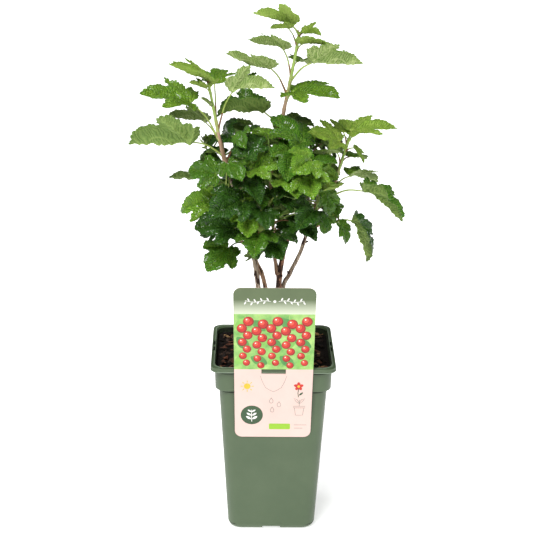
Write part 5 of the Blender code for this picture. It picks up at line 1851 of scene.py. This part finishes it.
def leaf_surface(name, light, dark, vein, vein_strength, net_strength, smooth, rough, depth, shine, coat):
    material = bpy.data.materials.new(name)
    material.use_nodes = True
    nodes, links = material.node_tree.nodes, material.node_tree.links
    shader = nodes["Principled BSDF"]
    shader.inputs["Specular IOR Level"].default_value = shine
    shader.inputs["Coat Roughness"].default_value = 0.13
    skin_node = nodes.new("ShaderNodeGroup")
    skin_node.node_tree = LEAF_SKIN
    for label, value in (("Light", light), ("Dark", dark), ("Vein", vein), ("Vein Strength", vein_strength),
                         ("Net Strength", net_strength), ("Smooth", smooth), ("Rough", rough), ("Gloss", coat)):
        skin_node.inputs[label].default_value = value
    bump = nodes.new("ShaderNodeBump")
    bump.inputs["Distance"].default_value = depth
    links.new(skin_node.outputs["Color"], shader.inputs["Base Color"])
    links.new(skin_node.outputs["Roughness"], shader.inputs["Roughness"])
    if coat > 0:
        links.new(skin_node.outputs["Gloss"], shader.inputs["Coat Weight"])
    links.new(skin_node.outputs["Height"], bump.inputs["Height"])
    links.new(bump.outputs["Normal"], shader.inputs["Normal"])
    material.diffuse_color = light
    return material


def leaf_looks():
    """For each age of leaf its upper face and its paler, duller underside."""
    lime, lime_vein = paint(182, 204, 92), paint(180, 200, 104)
    pale_vein = paint(158, 182, 96)
    return {
        "young_top": leaf_surface("leaf_young_top", paint(134, 176, 50), paint(106, 148, 34), lime,
                                  0.7, 0.40, 0.40, 0.55, 0.00080, 0.4, 0.25),
        "young_under": leaf_surface("leaf_young_under", paint(158, 190, 80), paint(134, 170, 60), lime_vein,
                                    0.8, 0.42, 0.5, 0.7, 0.00045, 0.4, 0.0),
        "fresh_top": leaf_surface("leaf_fresh_top", paint(103, 149, 24), paint(75, 125, 15), paint(140, 180, 48),
                                  0.80, 0.58, 0.24, 0.50, 0.00095, 0.45, 0.8),
        "fresh_under": leaf_surface("leaf_fresh_under", paint(138, 166, 78), paint(104, 138, 54), paint(204, 218, 148),
                                    0.85, 0.45, 0.5, 0.7, 0.00045, 0.4, 0.0),
        "grown_top": leaf_surface("leaf_grown_top", paint(69, 132, 15), paint(45, 98, 10), paint(132, 172, 60),
                                  0.70, 0.50, 0.24, 0.50, 0.00110, 0.25, 1.0),
        "grown_under": leaf_surface("leaf_grown_under", paint(116, 148, 66), paint(90, 122, 46), pale_vein,
                                    0.75, 0.40, 0.5, 0.7, 0.00045, 0.4, 0.0),
        # The bright and dark looks are leaf tones, also dealt by place in leaf_look as painted light and painted
        # shade.
        "bright_top": leaf_surface("leaf_bright_top", paint(101, 160, 22), paint(74, 132, 13), paint(170, 208, 80),
                                   0.75, 0.55, 0.24, 0.50, 0.00110, 0.25, 1.0),
        "bright_under": leaf_surface("leaf_bright_under", paint(126, 158, 70), paint(100, 134, 50), pale_vein,
                                     0.75, 0.40, 0.5, 0.7, 0.00045, 0.4, 0.0),
        "dark_top": leaf_surface("leaf_dark_top", paint(36, 88, 10), paint(18, 56, 6), paint(96, 142, 50),
                                 0.60, 0.42, 0.22, 0.48, 0.00110, 0.25, 1.0),
        "dark_under": leaf_surface("leaf_dark_under", paint(98, 126, 56), paint(72, 100, 40), pale_vein,
                                   0.7, 0.40, 0.5, 0.7, 0.00045, 0.4, 0.0),
        "rib": surface("leaf_rib", paint(150, 178, 92), paint(124, 154, 68), 200, 1000, 0.45, 0.65, 0.0001),
    }


def leaf_look(group, name, leaf, dice):
    """Long shoots carry young leaves at the top. In the crown the tones are dealt at random in shares set by place:
    the back and some groups get more dark leaves as painted shade, and high leaves more bright ones as painted light.
    """
    pick = dice.random()
    foot = leaf[0][0]
    if name.startswith("shoot"):
        path = stems[name][0]
        level = (foot.z - path[0].z) / (path[-1].z - path[0].z)
        return "young" if level > 0.72 else "fresh" if level > 0.25 + 0.2 * (pick - 0.5) else "grown"
    # Painted shade: the crown's back and each group take their shares of bright, grown and dark leaves by how light
    # falls there.
    bright, grown = CROWN_LIGHT_AND_SHADE_SHARES["back" if leaf[1].y > SHADED_BACK_DEPTH else group]
    # Painted light: high leaves are dealt bright more often.
    if leaf[1].z - SOIL_TOP > LIT_HIGH_LEAVES:
        bright += 0.18
    return "bright" if pick < bright else "grown" if pick < bright + grown else "dark"


def build_leaves():
    looks = leaf_looks()
    names = list(looks)
    templates = {(kind, size): [leaf_template(kind, seed, *spacing) for seed in (1, 2, 3)]
                 for kind in HALF_OUTLINES for size, spacing in GRIDS.items()}
    for number, (group, members) in enumerate(SHOOT_GROUPS.items()):
        dice = random.Random(60 + number)
        verts = []
        faces = []
        looks_of = []
        main = []
        side = []
        run = []
        for name in members:
            for count, leaf in enumerate(plans[name] + tips[name]):
                tip_leaf = count >= len(plans[name])
                look = "young" if tip_leaf else leaf_look(group, name, leaf, dice)
                kind = "pointed" if look in ("young", "fresh") else "broad"
                size = "small" if tip_leaf else "middle" if leaf[4] < MIDDLE_BLADE else "full"
                template = dice.choice(templates[kind, size])
                age = dice.uniform(*LEAF_AGES[look])
                top = blade_surface(template, leaf, age, dice.uniform(0, 40))
                under = top - np.array(leaf[3]) * BLADE_THICK
                first = len(verts)
                verts += top.tolist() + under.tolist()
                low = first + len(top)
                faces += (template["tris"] + first).tolist()
                faces += (template["tris"][:, ::-1] + low).tolist()
                faces += [(first + i, low + i, low + j, first + j)
                          for i, j in zip(template["rim"], template["rim"][1:] + template["rim"][:1])]
                looks_of += [names.index(look + "_top")] * len(template["tris"])
                looks_of += [names.index(look + "_under")] * len(template["tris"])
                looks_of += [names.index(look + "_top")] * len(template["rim"])
                for values, label in ((main, "main"), (side, "side"), (run, "run")):
                    values += template[label].tolist() * 2
                if tip_leaf:
                    continue
                length = leaf[4]
                for rib in template["ribs"]:
                    path = [Vector(under[i]) for i in rib]
                    last = len(path) - 1
                    sweep(verts, faces, path, lambda i, angle:
                          length * (RIB_RADII[0] + (RIB_RADII[1] - RIB_RADII[0]) * i / last), RIB_SIDES)
                looks_of += [names.index("rib")] * (len(faces) - len(looks_of))
                for values in (main, side, run):
                    values += [0.0] * (len(verts) - len(values))
        mesh = mesh_from("leaves_" + group, verts, faces, looks.values(), looks_of, smooth_below=55)
        for label, values in (("main_rib", main), ("side_rib", side), ("streak_run", run)):
            mesh.attributes.new(label, "FLOAT", "POINT").data.foreach_set("value", values)
        place("leaves_" + group, mesh, "foliage", *members)


build_leaves()


# The floor is a plain pale light table, and the light is that of a studio: a white surround, a
# soft lamp from the upper left in front, a weaker one from the right, and one from overhead.
# The camera stands a little above the plant, at the photograph's viewing angle.
FLOOR_HALF = 12.0
SURROUND_SEEN = 1.0
SURROUND_LIGHT = 0.09
FLOOR_GLOW = 0.66
LAMPS = {
    "key_lamp": dict(place=(-0.5, -1.15, 1.5), strength=2.35, spread=24),
    "fill_lamp": dict(place=(1.2, -1.3, 0.9), strength=0.35, spread=40),
    "top_lamp": dict(place=(-0.25, 0.10, 1.6), strength=1.2, spread=24),
}
CAMERA_PLACE = (-0.0252, -1.36085, 0.73447)
CAMERA_YAW = 0.738
CAMERA_PITCH = 18.32
CAMERA_ROLL = 0.641
CAMERA_LENS = 92.43
FILM_WIDTH = 36.0


def build_floor():
    pale = surface("studio_floor", paint(250, 250, 250), paint(247, 247, 247), 3, 60, 0.7, 0.8, 0.00005)
    shader = pale.node_tree.nodes["Principled BSDF"]
    shader.inputs["Emission Color"].default_value = (1.0, 1.0, 1.0, 1.0)
    shader.inputs["Emission Strength"].default_value = FLOOR_GLOW
    corners = [(x * FLOOR_HALF, y * FLOOR_HALF, 0.0) for x, y in ((-1, -1), (1, -1), (1, 1), (-1, 1))]
    floor = bpy.data.objects.new("studio_floor", mesh_from("studio_floor", corners, [(0, 1, 2, 3)], [pale]))
    bpy.context.scene.collection.objects.link(floor)


def add_lamp(name, place, strength, spread):
    """A soft lamp so far off that it lights the plant and the whole floor evenly."""
    lamp = bpy.data.lights.new(name, "SUN")
    lamp.energy = strength
    lamp.angle = math.radians(spread)
    made = bpy.data.objects.new(name, lamp)
    made.location = place
    made.rotation_euler = (-Vector(place)).to_track_quat("-Z", "Y").to_euler()
    bpy.context.scene.collection.objects.link(made)


def add_camera():
    camera = bpy.data.cameras.new("camera")
    camera.sensor_width = FILM_WIDTH
    camera.lens = CAMERA_LENS
    made = bpy.data.objects.new("camera", camera)
    turn = (Matrix.Rotation(math.radians(-CAMERA_YAW), 4, "Z")
            @ Matrix.Rotation(math.radians(90 - CAMERA_PITCH), 4, "X")
            @ Matrix.Rotation(math.radians(CAMERA_ROLL), 4, "Z"))
    made.matrix_world = Matrix.Translation(CAMERA_PLACE) @ turn
    bpy.context.scene.collection.objects.link(made)
    bpy.context.scene.camera = made


def light_studio():
    """The surround is seen as plain white, and lights the plant more weakly than the lamps do."""
    world = bpy.data.worlds.new("studio")
    world.use_nodes = True
    nodes, links = world.node_tree.nodes, world.node_tree.links
    background = nodes["Background"]
    background.inputs["Color"].default_value = (1.0, 1.0, 1.0, 1.0)
    path = nodes.new("ShaderNodeLightPath")
    level = nodes.new("ShaderNodeMapRange")
    level.inputs["To Min"].default_value = SURROUND_LIGHT
    level.inputs["To Max"].default_value = SURROUND_SEEN
    links.new(path.outputs["Is Camera Ray"], level.inputs["Value"])
    links.new(level.outputs["Result"], background.inputs["Strength"])
    bpy.context.scene.world = world
    bpy.context.scene.view_settings.view_transform = "Standard"
    for name, lamp in LAMPS.items():
        add_lamp(name, **lamp)


build_floor()
light_studio()
add_camera()
